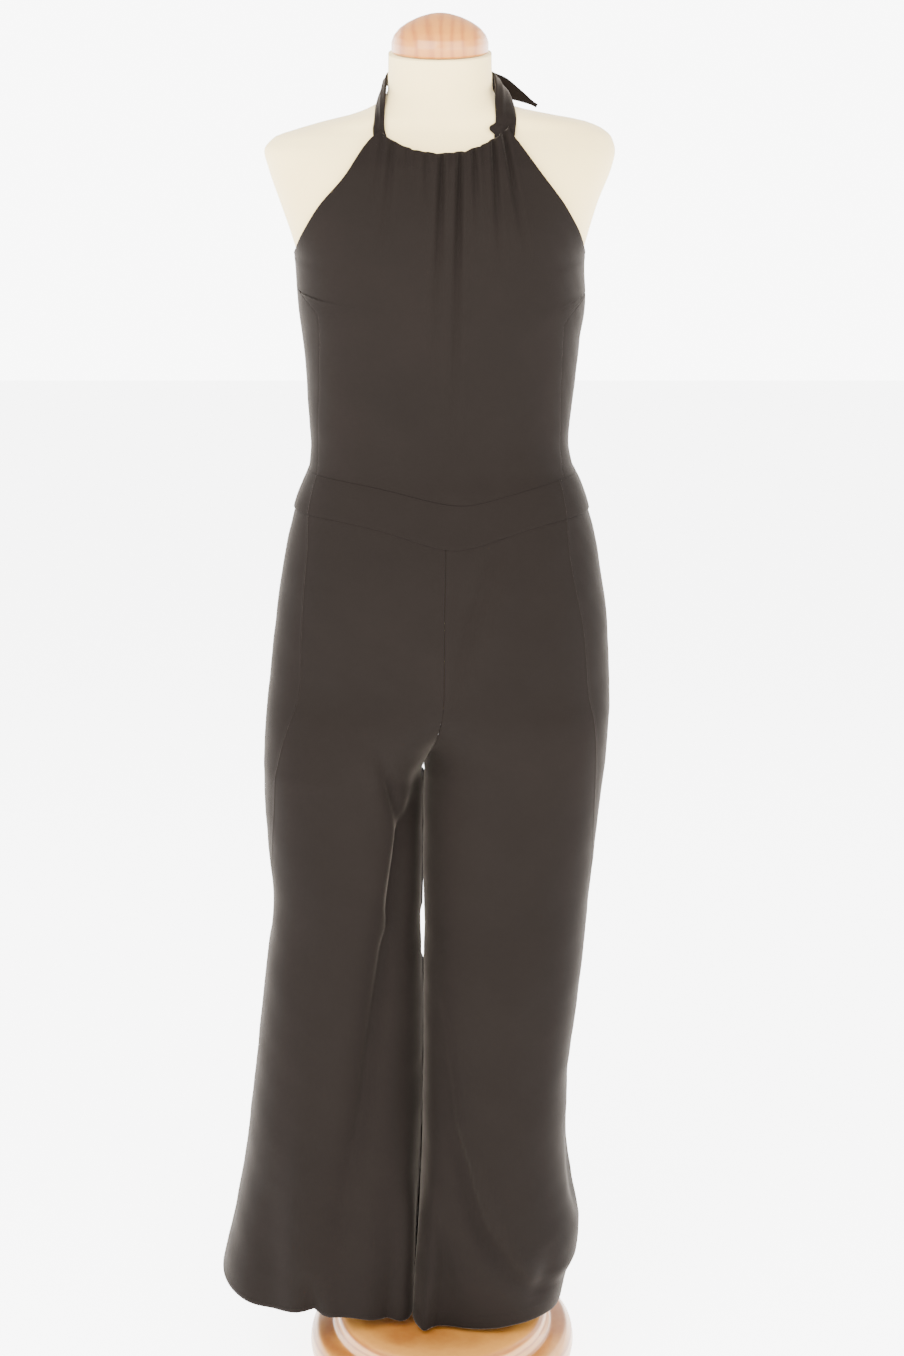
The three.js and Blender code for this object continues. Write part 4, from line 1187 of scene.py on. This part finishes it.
# ------------------------------------------------------------------ the dress form
class FormShape:
    """Sections of the torso: its own rows above the bust, and the trunk drawn in below."""

    FLOOR = 868.0
    TOP = Profile("z mid right left front back", [
        (1545, 0, -54, 54, -57, 53), (1527, 0, -54.5, 55, -57, 54), (1517, 0, -61, 63, -58, 55),
        (1510, 1, -72, 79, -59, 57), (1503, 2, -90, 112, -61, 59), (1496, 2, -119, 150, -63, 61),
        (1488, 2, -148, 170, -64, 64), (1479, 2, -174, 180, -70, 71), (1465, 2, -185, 184, -81, 81),
        (1450, 2, -181.5, 181, -91, 88), (1414, 3, -169.5, 167, -107, 97), (1385, 3, -159.5, 158, -114, 100),
        (1352, 3, -149.5, 149, -118, 101),
    ])
    EASE = Profile("z ease", [
        (1352, 5), (1330, 6), (1250, 7), (1160, 6), (1090, 7), (1000, 8), (930, 9), (900, 12), (884, 20),
        (874, 32), (868, 46),
    ])
    SPLIT = 1352.0

    @classmethod
    def point(cls, side: Side, psi: np.ndarray, z: np.ndarray) -> np.ndarray:
        """Points of the form at psi and z."""
        names = ("left", "right") if side is Side.LEFT else ("right", "left")
        trunk, ease = Trunk.section(side, z), cls.EASE("ease", z)
        low = [trunk.mid] + [v - np.sign(v) * ease for v in (trunk.a, trunk.b, trunk.front, trunk.back)]
        high = [cls.TOP(name, z) for name in ("mid", *names, "front", "back")]
        mid, a, b, front, back = (np.where(z >= cls.SPLIT, h, l) for h, l in zip(high, low))
        flat = Oval(mid, a, b, front, back, np.zeros_like(a)).point(psi)
        return np.concatenate([flat, z[..., None]], axis=-1)


def turn_profile(profile: Sequence[tuple[float, float]], sides: int,
                 finer: int) -> tuple[np.ndarray, np.ndarray]:
    """Spins an outline round Z as one closed skin, its corners kept crisp by close rows.

    Args:
        profile: radius and height from the middle outwards and back.
        sides: points round.
        finer: rows between two points of the outline.

    Returns:
        The points in millimetres, and the faces.
    """
    outline = np.array(profile, dtype=float)
    rows = [outline[0]]
    for a, b in zip(outline[:-1], outline[1:]):
        rows += [mix(a, b, t) for t in np.linspace(0, 1, finer + 1)[1:]]
    ring = np.array(rows)[1:-1]
    kernel = np.array([0.25, 0.5, 0.25])
    for _ in range(2):
        ring[1:-1] = np.stack([np.convolve(ring[:, k], kernel, "valid") for k in (0, 1)], axis=-1)
    angle = np.arange(sides) * 2 * math.pi / sides
    points = np.stack([
        ring[:, :1] * np.cos(angle), ring[:, :1] * np.sin(angle), np.repeat(ring[:, 1:], sides, axis=1),
    ], axis=-1)
    faces = grid_faces(len(ring), sides, closed=True).tolist()
    flat = points.reshape(-1, 3).tolist()
    for end, start in ((rows[0], 0), (rows[-1], (len(ring) - 1) * sides)):
        hub = len(flat)
        flat.append([0.0, 0.0, float(end[1])])
        for j in range(sides):
            pair = (start + j, start + (j + 1) % sides)
            faces.append([hub, pair[1], pair[0]] if start == 0 else [hub, pair[0], pair[1]])
    return np.array(flat), faces


def face_out(made: bpy.types.Object) -> None:
    """Turns a closed skin's faces outwards."""
    work = bmesh.new()
    work.from_mesh(made.data)
    bmesh.ops.recalc_face_normals(work, faces=work.faces)
    work.to_mesh(made.data)
    work.free()


def carry(made: bpy.types.Object, slot: str, *nodes: str) -> bpy.types.Object:
    """Rides a piece on the body in place of the nodes it stands for."""
    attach(made, BODY)
    if nodes:
        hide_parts(*nodes)
    LOG.info("%s: %d faces", made.name, len(made.data.polygons))
    return made


@dataclass
class DressForm:
    """Torso, neck cap, pole and base."""

    sides: int = 160
    rows: int = 220
    neck_height: float = 1563.5
    tilt: float = 9.0
    cap: float = 50.5
    pole_radius: float = 15.0

    def build(self) -> None:
        """Makes the four parts."""
        self._torso()
        self._cap()
        self._base()
        self._pole()

    def _torso(self) -> None:
        """The jersey-covered torso, with the neck cut at a slope."""
        heights = mix(FormShape.FLOOR, 1545.0, np.linspace(0, 1, self.rows))
        z, psi = np.meshgrid(heights, np.arange(self.sides) * 360.0 / self.sides, indexing="ij")
        points = FormShape.point(Side.LEFT, psi, z)
        rim = points[-1].copy()
        rim[:, :2] *= 0.995
        rim[:, 2] = self.neck_height + rim[:, 1] * math.tan(math.radians(self.tilt))
        neck = np.stack([mix(points[-1], rim, t) for t in np.linspace(0, 1, 9)[1:]])
        points = np.concatenate([points, neck])
        faces = grid_faces(len(points), self.sides, closed=True).tolist()
        flat = points.reshape(-1, 3).tolist()
        for k in (0, len(points) - 1):
            hub = len(flat)
            flat.append(points[k].mean(axis=0).tolist())
            faces += [[hub, k * self.sides + j, k * self.sides + (j + 1) % self.sides]
                      for j in range(self.sides)]
        made = new_object("jersey_torso", np.array(flat) * MM, faces, JERSEY)
        face_out(made)
        round_it = lengths(points, 1)
        up = lengths(points, 0)
        uv = np.stack([round_it, up], axis=-1).reshape(-1, 2)
        lay_uv(made, np.concatenate([uv, np.zeros((2, 2))]) * MM)
        carry(made, "jersey", "form_torso")

    def _cap(self) -> None:
        """The turned pine dome on the neck."""
        r = self.cap
        profile = [(0, 0), (r - 1, 0), (r, 2), (r, 10), (48, 17), (42, 24), (33, 30), (22, 35), (10, 38.5),
                   (0, 39.5)]
        points, faces = turn_profile(profile, self.sides, 6)
        angle = math.radians(self.tilt)
        y, z = points[:, 1].copy(), points[:, 2].copy()
        points[:, 1] = y * math.cos(angle) - z * math.sin(angle) - 2
        points[:, 2] = y * math.sin(angle) + z * math.cos(angle) + self.neck_height + 0.6
        made = new_object("pine_cap", points * MM, faces, CAP_PINE)
        face_out(made)
        carry(made, "lacquered_wood", "neck_cap")

    def _base(self) -> None:
        """The turned pine base with its bead, groove and flat top."""
        profile = [
            (0, 0), (150, 0), (157, 3), (160, 12), (157, 20), (161, 28), (163, 40), (161, 52), (154, 60),
            (143, 62),
            (134, 63), (131, 70), (129, 79), (122, 84), (104, 88), (40, 88), (34, 89), (31, 92), (29, 96),
            (0, 96),
        ]
        points, faces = turn_profile(profile, self.sides, 5)
        made = new_object("pine_base", points * MM, faces, BASE_PINE)
        face_out(made)
        carry(made, "lacquered_wood", "base")

    def _pole(self) -> None:
        """The steel tube inside the legs."""
        r, low, high = self.pole_radius, 96.3, FormShape.FLOOR - 0.3
        points, faces = turn_profile([(0, low), (r, low), (r, low + 1), (r, high - 1), (r, high), (0, high)],
                                     64, 8)
        made = new_object("steel_pole", points * MM, faces, STEEL)
        face_out(made)
        carry(made, "steel", "pole")


# ------------------------------------------------------------------ ties
@dataclass
class Ties:
    """Halter straps, the knot at the nape and its two ends."""

    wall: float = 2.2
    turn: float = 2.0
    bunch: float = 5.5
    long: int = 120
    wide: int = 14
    straps: dict = field(default_factory=lambda: {
        Side.RIGHT: [
            (-52, -73, 1476, -67, -71.2, 1476), (-56, -66.5, 1488, -68.5, -63, 1488),
            (-57, -61, 1500, -67.5, -54.5, 1499),
            (-57.5, -49, 1512, -67.5, -37, 1508), (-57.5, -32, 1524, -66, -15, 1518),
            (-57.5, -12, 1535, -62.5, 4, 1527),
            (-57, 10, 1543, -60, 24, 1531), (-51, 31, 1547, -53, 40, 1531), (-40, 46, 1548, -41, 50, 1532),
            (-20, 58, 1548, -20, 61, 1535), (-8, 64, 1546, -8, 66, 1537),
        ],
        Side.LEFT: [
            (55, -73, 1476, 76, -70.6, 1476), (56, -66.5, 1488, 77.5, -63.5, 1488),
            (57, -61.5, 1500, 78.5, -57, 1499),
            (57, -50, 1512, 77.5, -42, 1509), (57.5, -36, 1524, 75, -24, 1519),
            (58.5, -16, 1535, 69.5, -2, 1529),
            (58.5, 8, 1543, 64, 20, 1532), (52, 31, 1547, 55, 40, 1531), (40, 46, 1549, 42, 51, 1532),
            (20, 59, 1549, 20, 62, 1535), (13, 64, 1547, 13, 66, 1537),
        ],
    })
    tails: dict = field(default_factory=lambda: {
        Side.LEFT: [(26, 68, 1541, 6), (42, 69, 1538, 10), (62, 68, 1531, 11.3), (84, 66, 1521, 6.2),
                    (104, 64, 1510, 0.8)],
        Side.RIGHT: [(-8, 70, 1526, 5), (-12, 79, 1505, 10), (-15, 95, 1470, 11), (-18, 107, 1432, 11),
                     (-20, 111, 1398, 10.5)],
    })

    KNOT_MIDDLE = (3, 70.5, 1541)
    KNOT_SIZE = (16, 9.5, 12.5)
    KNOT_AROUND = 72
    KNOT_ACROSS = 38
    TAIL_ROWS = 60
    TAIL_COLUMNS = 13

    def build(self) -> None:
        """Makes every part of the tie."""
        for side in Side:
            self._strap(side)
            self._tail(side)
        self._knot()

    def _ribbon(self, name: str, grid: np.ndarray, outward: np.ndarray) -> None:
        """Makes a ribbon of cloth from a grid of its outer face."""
        allowance = Allowance(side=self.turn, top=5.0, foot=5.0)
        flat, area = allowance.cut(grid, whole=False)
        faces = grid_faces(*grid.shape[:2])
        a, b, c = (grid.reshape(-1, 3)[faces[:, k]] for k in (0, 1, 2))
        if (np.cross(b - a, c - a) * outward.reshape(-1, 3)[faces[:, 0]]).sum() < 0:
            faces = faces[:, ::-1]
        made = new_object(f"crepe_{name}", grid.reshape(-1, 3) * MM, faces, CREPE)
        uv = np.stack([lengths(grid, 1), lengths(grid, 0)], axis=-1).reshape(-1, 2)
        lay_uv(made, uv * MM)
        solidify(made, self.wall * MM)
        carry(made, "crepe", name)
        LOG.info("%s: shows %.3f x %.3f m, %.4f m2", name, *flat, area)
        flat, area = allowance.cut(grid, whole=True)
        LOG.info("%s: whole cut %.3f x %.3f m, %.4f m2", name, *flat, area)

    def _strap(self, side: Side) -> None:
        """One strap from inside the casing, up beside the neck and round to the knot."""
        rows = [(k, *row) for k, row in enumerate(self.straps[side])]
        path = Profile("z near_x near_y near_z far_x far_y far_z", rows)
        t, s = np.meshgrid(np.linspace(0, len(rows) - 1, self.long), np.linspace(0, 1, self.wide),
                           indexing="ij")
        near, far = (np.stack([path(f"{edge}_{axis}", t) for axis in "xyz"], axis=-1)
                     for edge in ("near", "far"))
        if side is Side.LEFT:
            near[..., 0] -= self.bunch * np.exp(-(((t - 1.1) / 0.34) ** 4))
        grid = mix(far, near, s[..., None])
        normal = np.cross(np.gradient(grid, axis=0), np.gradient(grid, axis=1))
        normal /= np.linalg.norm(normal, axis=-1, keepdims=True) + 1e-12
        outward = np.concatenate([grid[..., :2], np.zeros_like(grid[..., :1])], axis=-1)
        normal *= np.sign((normal * outward).sum(axis=-1, keepdims=True))
        crease = np.exp(-(((s - 0.60 - 0.10 * np.sin(0.8 * t)) / 0.12) ** 2))
        rolled = (2 * np.abs(s - 0.5)) ** 4
        bunched = 2.6 * np.exp(-(((t - 1.15) / 0.3) ** 2)) * (0.6 + 0.4 * np.sin(14 * s))
        lift = 1.1 * crease - 0.9 * rolled + (bunched if side is Side.LEFT else 0.4 * bunched)
        grid = grid + normal * lift[..., None]
        self._ribbon(f"strap_{side.word}", grid, normal)

    def _tail(self, side: Side) -> None:
        """One loose end of the tie."""
        rows = [(k, *row) for k, row in enumerate(self.tails[side])]
        path = Profile("z x y height half", rows)
        t = np.linspace(0, len(rows) - 1, self.TAIL_ROWS)
        middle = np.stack([path("x", t), path("y", t), path("height", t)], axis=-1)
        along = np.gradient(middle, axis=0)
        along /= np.linalg.norm(along, axis=-1, keepdims=True)
        wide = np.cross([0.0, 1.0, 0.0], along)
        wide /= np.linalg.norm(wide, axis=-1, keepdims=True)
        thick = np.cross(along, wide)
        s = np.linspace(-1, 1, self.TAIL_COLUMNS)
        curl = 0.9 * (s**2)[None, :] * np.cos(1.3 * t)[:, None] + self.wall / 2
        spread = wide[:, None] * (path("half", t)[:, None] * s)[..., None]
        grid = middle[:, None] + spread + thick[:, None] * curl[..., None]
        outward = np.broadcast_to(thick[:, None], grid.shape)
        self._ribbon(f"tie_end_{side.word}", grid, outward)

    def _knot(self) -> None:
        """The knot: two turns of the tie wound over each other."""
        around, across = np.meshgrid(np.linspace(0, 2 * math.pi, self.KNOT_AROUND, endpoint=False),
                                     np.linspace(0, math.pi, self.KNOT_ACROSS)[1:-1])
        turn = 0.10 * np.sin(2 * across * 2.0 + around) + 0.06 * np.cos(3 * around - across * 4.0)
        size = 0.88 + turn * np.sin(across)
        x, y, z = self.KNOT_MIDDLE
        wide, deep, high = self.KNOT_SIZE
        points = np.stack([
            x + wide * size * np.sin(across) * np.cos(around),
            y + deep * size * np.sin(across) * np.sin(around),
            z + high * size * np.cos(across),
        ], axis=-1)
        rows, columns = across.shape
        faces = grid_faces(rows, columns, closed=True).tolist()
        flat = points.reshape(-1, 3).tolist()
        for k in (0, rows - 1):
            hub = len(flat)
            flat.append(points[k].mean(axis=0).tolist())
            faces += [[hub, k * columns + j, k * columns + (j + 1) % columns] for j in range(columns)]
        made = new_object("tie_knot_wound", np.array(flat) * MM, faces, CREPE)
        face_out(made)
        lay_uv(made, np.array(flat)[:, [0, 2]] * MM)
        carry(made, "crepe", "tie_knot")


# ------------------------------------------------------------------ stitches
@dataclass
class Stitches:
    """Runs of stitching that a geometry node tree lays along paths on the cloth."""

    pitch: float = 2.6 * MM
    length: float = 1.9 * MM
    thick: float = 0.22 * MM
    seed: int = 7

    def run(self, name: str, paths: Sequence[np.ndarray]) -> bpy.types.Object:
        """Lays stitches along paths.

        Args:
            name: the piece's name.
            paths: lines of points in millimetres.

        Returns:
            One plain mesh.
        """
        points, edges = [], []
        for path in paths:
            start = len(points)
            points += (np.asarray(path) * MM).tolist()
            edges += [(start + i, start + i + 1) for i in range(len(path) - 1)]
        mesh = bpy.data.meshes.new(f"{name}_path")
        mesh.from_pydata(points, edges, [])
        guide = bpy.data.objects.new(f"{name}_path", mesh)
        bpy.context.scene.collection.objects.link(guide)
        tree, inputs = self._tree(name)
        modifier = guide.modifiers.new("stitches", "NODES")
        modifier.node_group = tree
        for label, value in (("Pitch", self.pitch), ("Length", self.length), ("Thickness", self.thick)):
            modifier[inputs[label]] = value
        seen = guide.evaluated_get(bpy.context.evaluated_depsgraph_get())
        plain = bpy.data.meshes.new_from_object(seen)
        guide.modifiers.remove(modifier)
        bpy.data.objects.remove(guide)
        plain.materials.clear()
        plain.materials.append(THREAD.material())
        plain.polygons.foreach_set("material_index", np.zeros(len(plain.polygons), dtype=np.int32))
        made = bpy.data.objects.new(name, plain)
        bpy.context.scene.collection.objects.link(made)
        return carry(made, "crepe")

    def _tree(self, name: str) -> tuple[bpy.types.NodeTree, dict]:
        """Builds the tree: points along each path, each with one stitch turned along it."""
        group = bpy.data.node_groups.new(f"{name}_tree", "GeometryNodeTree")
        group.interface.new_socket("Geometry", in_out="INPUT", socket_type="NodeSocketGeometry")
        labels = {}
        for label in ("Pitch", "Length", "Thickness"):
            labels[label] = group.interface.new_socket(label, in_out="INPUT",
                                                       socket_type="NodeSocketFloat").identifier
        group.interface.new_socket("Geometry", in_out="OUTPUT", socket_type="NodeSocketGeometry")
        tree = Tree(group)
        start = group.nodes.new("NodeGroupInput")
        given = {label: Value(tree, start.outputs[label])
                 for label in ("Geometry", "Pitch", "Length", "Thickness")}
        curve = tree.node("GeometryNodeMeshToCurve", {}, {"Mesh": given["Geometry"]})
        spaced = tree.node("GeometryNodeResampleCurve", {"mode": "LENGTH"},
                           {"Curve": curve, "Length": given["Pitch"]})
        tangent = tree.node("GeometryNodeInputTangent", {}, {})
        turned = tree.node("FunctionNodeAlignRotationToVector", {"axis": "X"}, {"Vector": tangent})
        ball = tree.node("GeometryNodeMeshUVSphere", {}, {"Segments": 6, "Rings": 4, "Radius": 0.5})
        spread = tree.node("FunctionNodeRandomValue", {"data_type": "FLOAT"},
                           {2: 0.88, 3: 1.08, "Seed": self.seed}, output=1)
        size = tree.node("ShaderNodeCombineXYZ", {}, {
            "X": given["Length"] * spread, "Y": given["Thickness"], "Z": given["Thickness"],
        })
        placed = tree.node("GeometryNodeInstanceOnPoints", {}, {
            "Points": spaced, "Instance": ball, "Rotation": turned, "Scale": size,
        })
        solid = tree.node("GeometryNodeRealizeInstances", {}, {"Geometry": placed})
        dressed = tree.node("GeometryNodeSetMaterial", {}, {"Geometry": solid, "Material": THREAD.material()})
        end = group.nodes.new("NodeGroupOutput")
        group.links.new(dressed.socket, end.inputs["Geometry"])
        return group, labels


@dataclass
class Sewing:
    """Where the visible stitching runs."""

    hem: float = 22.0
    edge: float = 6.0

    def build(self, legs: Legs, bodice: Bodice) -> None:
        """Lays the hem, casing and edge stitching."""
        stitches = Stitches()
        for side in Side:
            paths = [self._row(legs.panels[side, face], Leg.HEM[side] + self.hem) for face in Face]
            stitches.run(f"hem_stitches_{side.word}", paths)
        front = bodice.panels["bodice_front"]
        stitches.run("casing_stitches", [self._below_top(front, bodice.casing)])
        stitches.run("back_edge_stitches", [
            self._below_top(bodice.panels[f"bodice_back_{side.word}"], self.edge) for side in Side
        ])

    @staticmethod
    def _row(panel: Panel, height: float) -> np.ndarray:
        """The panel's row nearest to a height."""
        row = int(np.argmin(np.abs(panel.grid[:, panel.grid.shape[1] // 2, 2] - height)))
        return panel.line(row=row)[1:-1]

    @staticmethod
    def _below_top(panel: Panel, drop: float) -> np.ndarray:
        """A line a constant way down the cloth from the panel's top edge."""
        lifted = panel.grid + panel.normals * 0.15
        along = lengths(panel.grid[::-1], 0)
        line = []
        for j in range(1, lifted.shape[1] - 1):
            column = lifted[::-1, j]
            line.append([np.interp(drop, along[:, j], column[:, k]) for k in range(3)])
        return np.array(line)


# ------------------------------------------------------------------ studio
@dataclass
class StudioSet:
    """Floor, soft lights and the camera."""

    camera_place: tuple = (0.0125, -2.227, 1.526)
    pitch: float = 74.0
    lens: float = 54.4
    surround: float = 8.6
    overhead: float = 0.16

    def build(self) -> None:
        """Makes the set."""
        self._camera()
        self._floor()
        self._light("key", (-0.9, -1.5, 2.4), 1.6, 105.0)
        self._light("fill", (1.1, -1.5, 2.3), 1.6, 58.0)
        self._light("rim_left", (-1.9, 1.5, 1.9), 1.8, 40.0)
        self._light("rim_right", (1.9, 1.5, 1.9), 1.8, 40.0)
        self._air()

    def _air(self) -> None:
        """White paper all round, bright up to a little over the floor and dimmer overhead."""
        world = bpy.data.worlds.new("studio_air")
        world.use_nodes = True
        air = world.node_tree.nodes["Background"]
        tree = Tree(world.node_tree)
        way = tree.node("ShaderNodeTexCoord", {}, {}, output="Generated")
        low, high = ((level, level, level, 1.0) for level in (1.0, self.overhead))
        ramp = [(0.10, low), (0.35, high)]
        shade = tree.node("ShaderNodeValToRGB", {"ramp": ramp}, {"Fac": way.part("z")})
        world.node_tree.links.new(shade.socket, air.inputs["Color"])
        air.inputs["Strength"].default_value = self.surround
        bpy.context.scene.world = world

    def _camera(self) -> None:
        """The camera, looking slightly down."""
        data = bpy.data.cameras.new("camera")
        data.lens = self.lens
        data.sensor_width = 36.0
        camera = bpy.data.objects.new("camera", data)
        camera.location = self.camera_place
        camera.rotation_euler = (math.radians(self.pitch), 0.0, 0.0)
        bpy.context.scene.collection.objects.link(camera)
        bpy.context.scene.camera = camera

    @staticmethod
    def _light(name: str, place: tuple, size: float, power: float) -> None:
        """A square soft light aimed at the middle of the garment."""
        data = bpy.data.lights.new(name, "AREA")
        data.shape, data.size, data.energy = "SQUARE", size, power
        light = bpy.data.objects.new(name, data)
        light.location = place
        aim = Vector((0.0, 0.0, 0.9)) - Vector(place)
        light.rotation_euler = aim.to_track_quat("-Z", "Y").to_euler()
        bpy.context.scene.collection.objects.link(light)

    @staticmethod
    def _floor() -> None:
        """A pale floor."""
        reach = 9.0
        points = np.array([(-reach, -reach, 0), (reach, -reach, 0), (reach, reach, 0), (-reach, reach, 0)],
                          dtype=float)
        floor = new_object("studio_floor", points, [(0, 1, 2, 3)], PAPER)


def main() -> None:
    """Builds every part of the scene in order."""
    logging.basicConfig(level=logging.INFO, format="%(name)s %(message)s")
    StudioSet().build()
    DressForm().build()
    legs = Legs()
    legs.build()
    Waistband().build()
    bodice = Bodice()
    bodice.build()
    Ties().build()
    Sewing().build(legs, bodice)


if __name__ == "__main__":
    main()
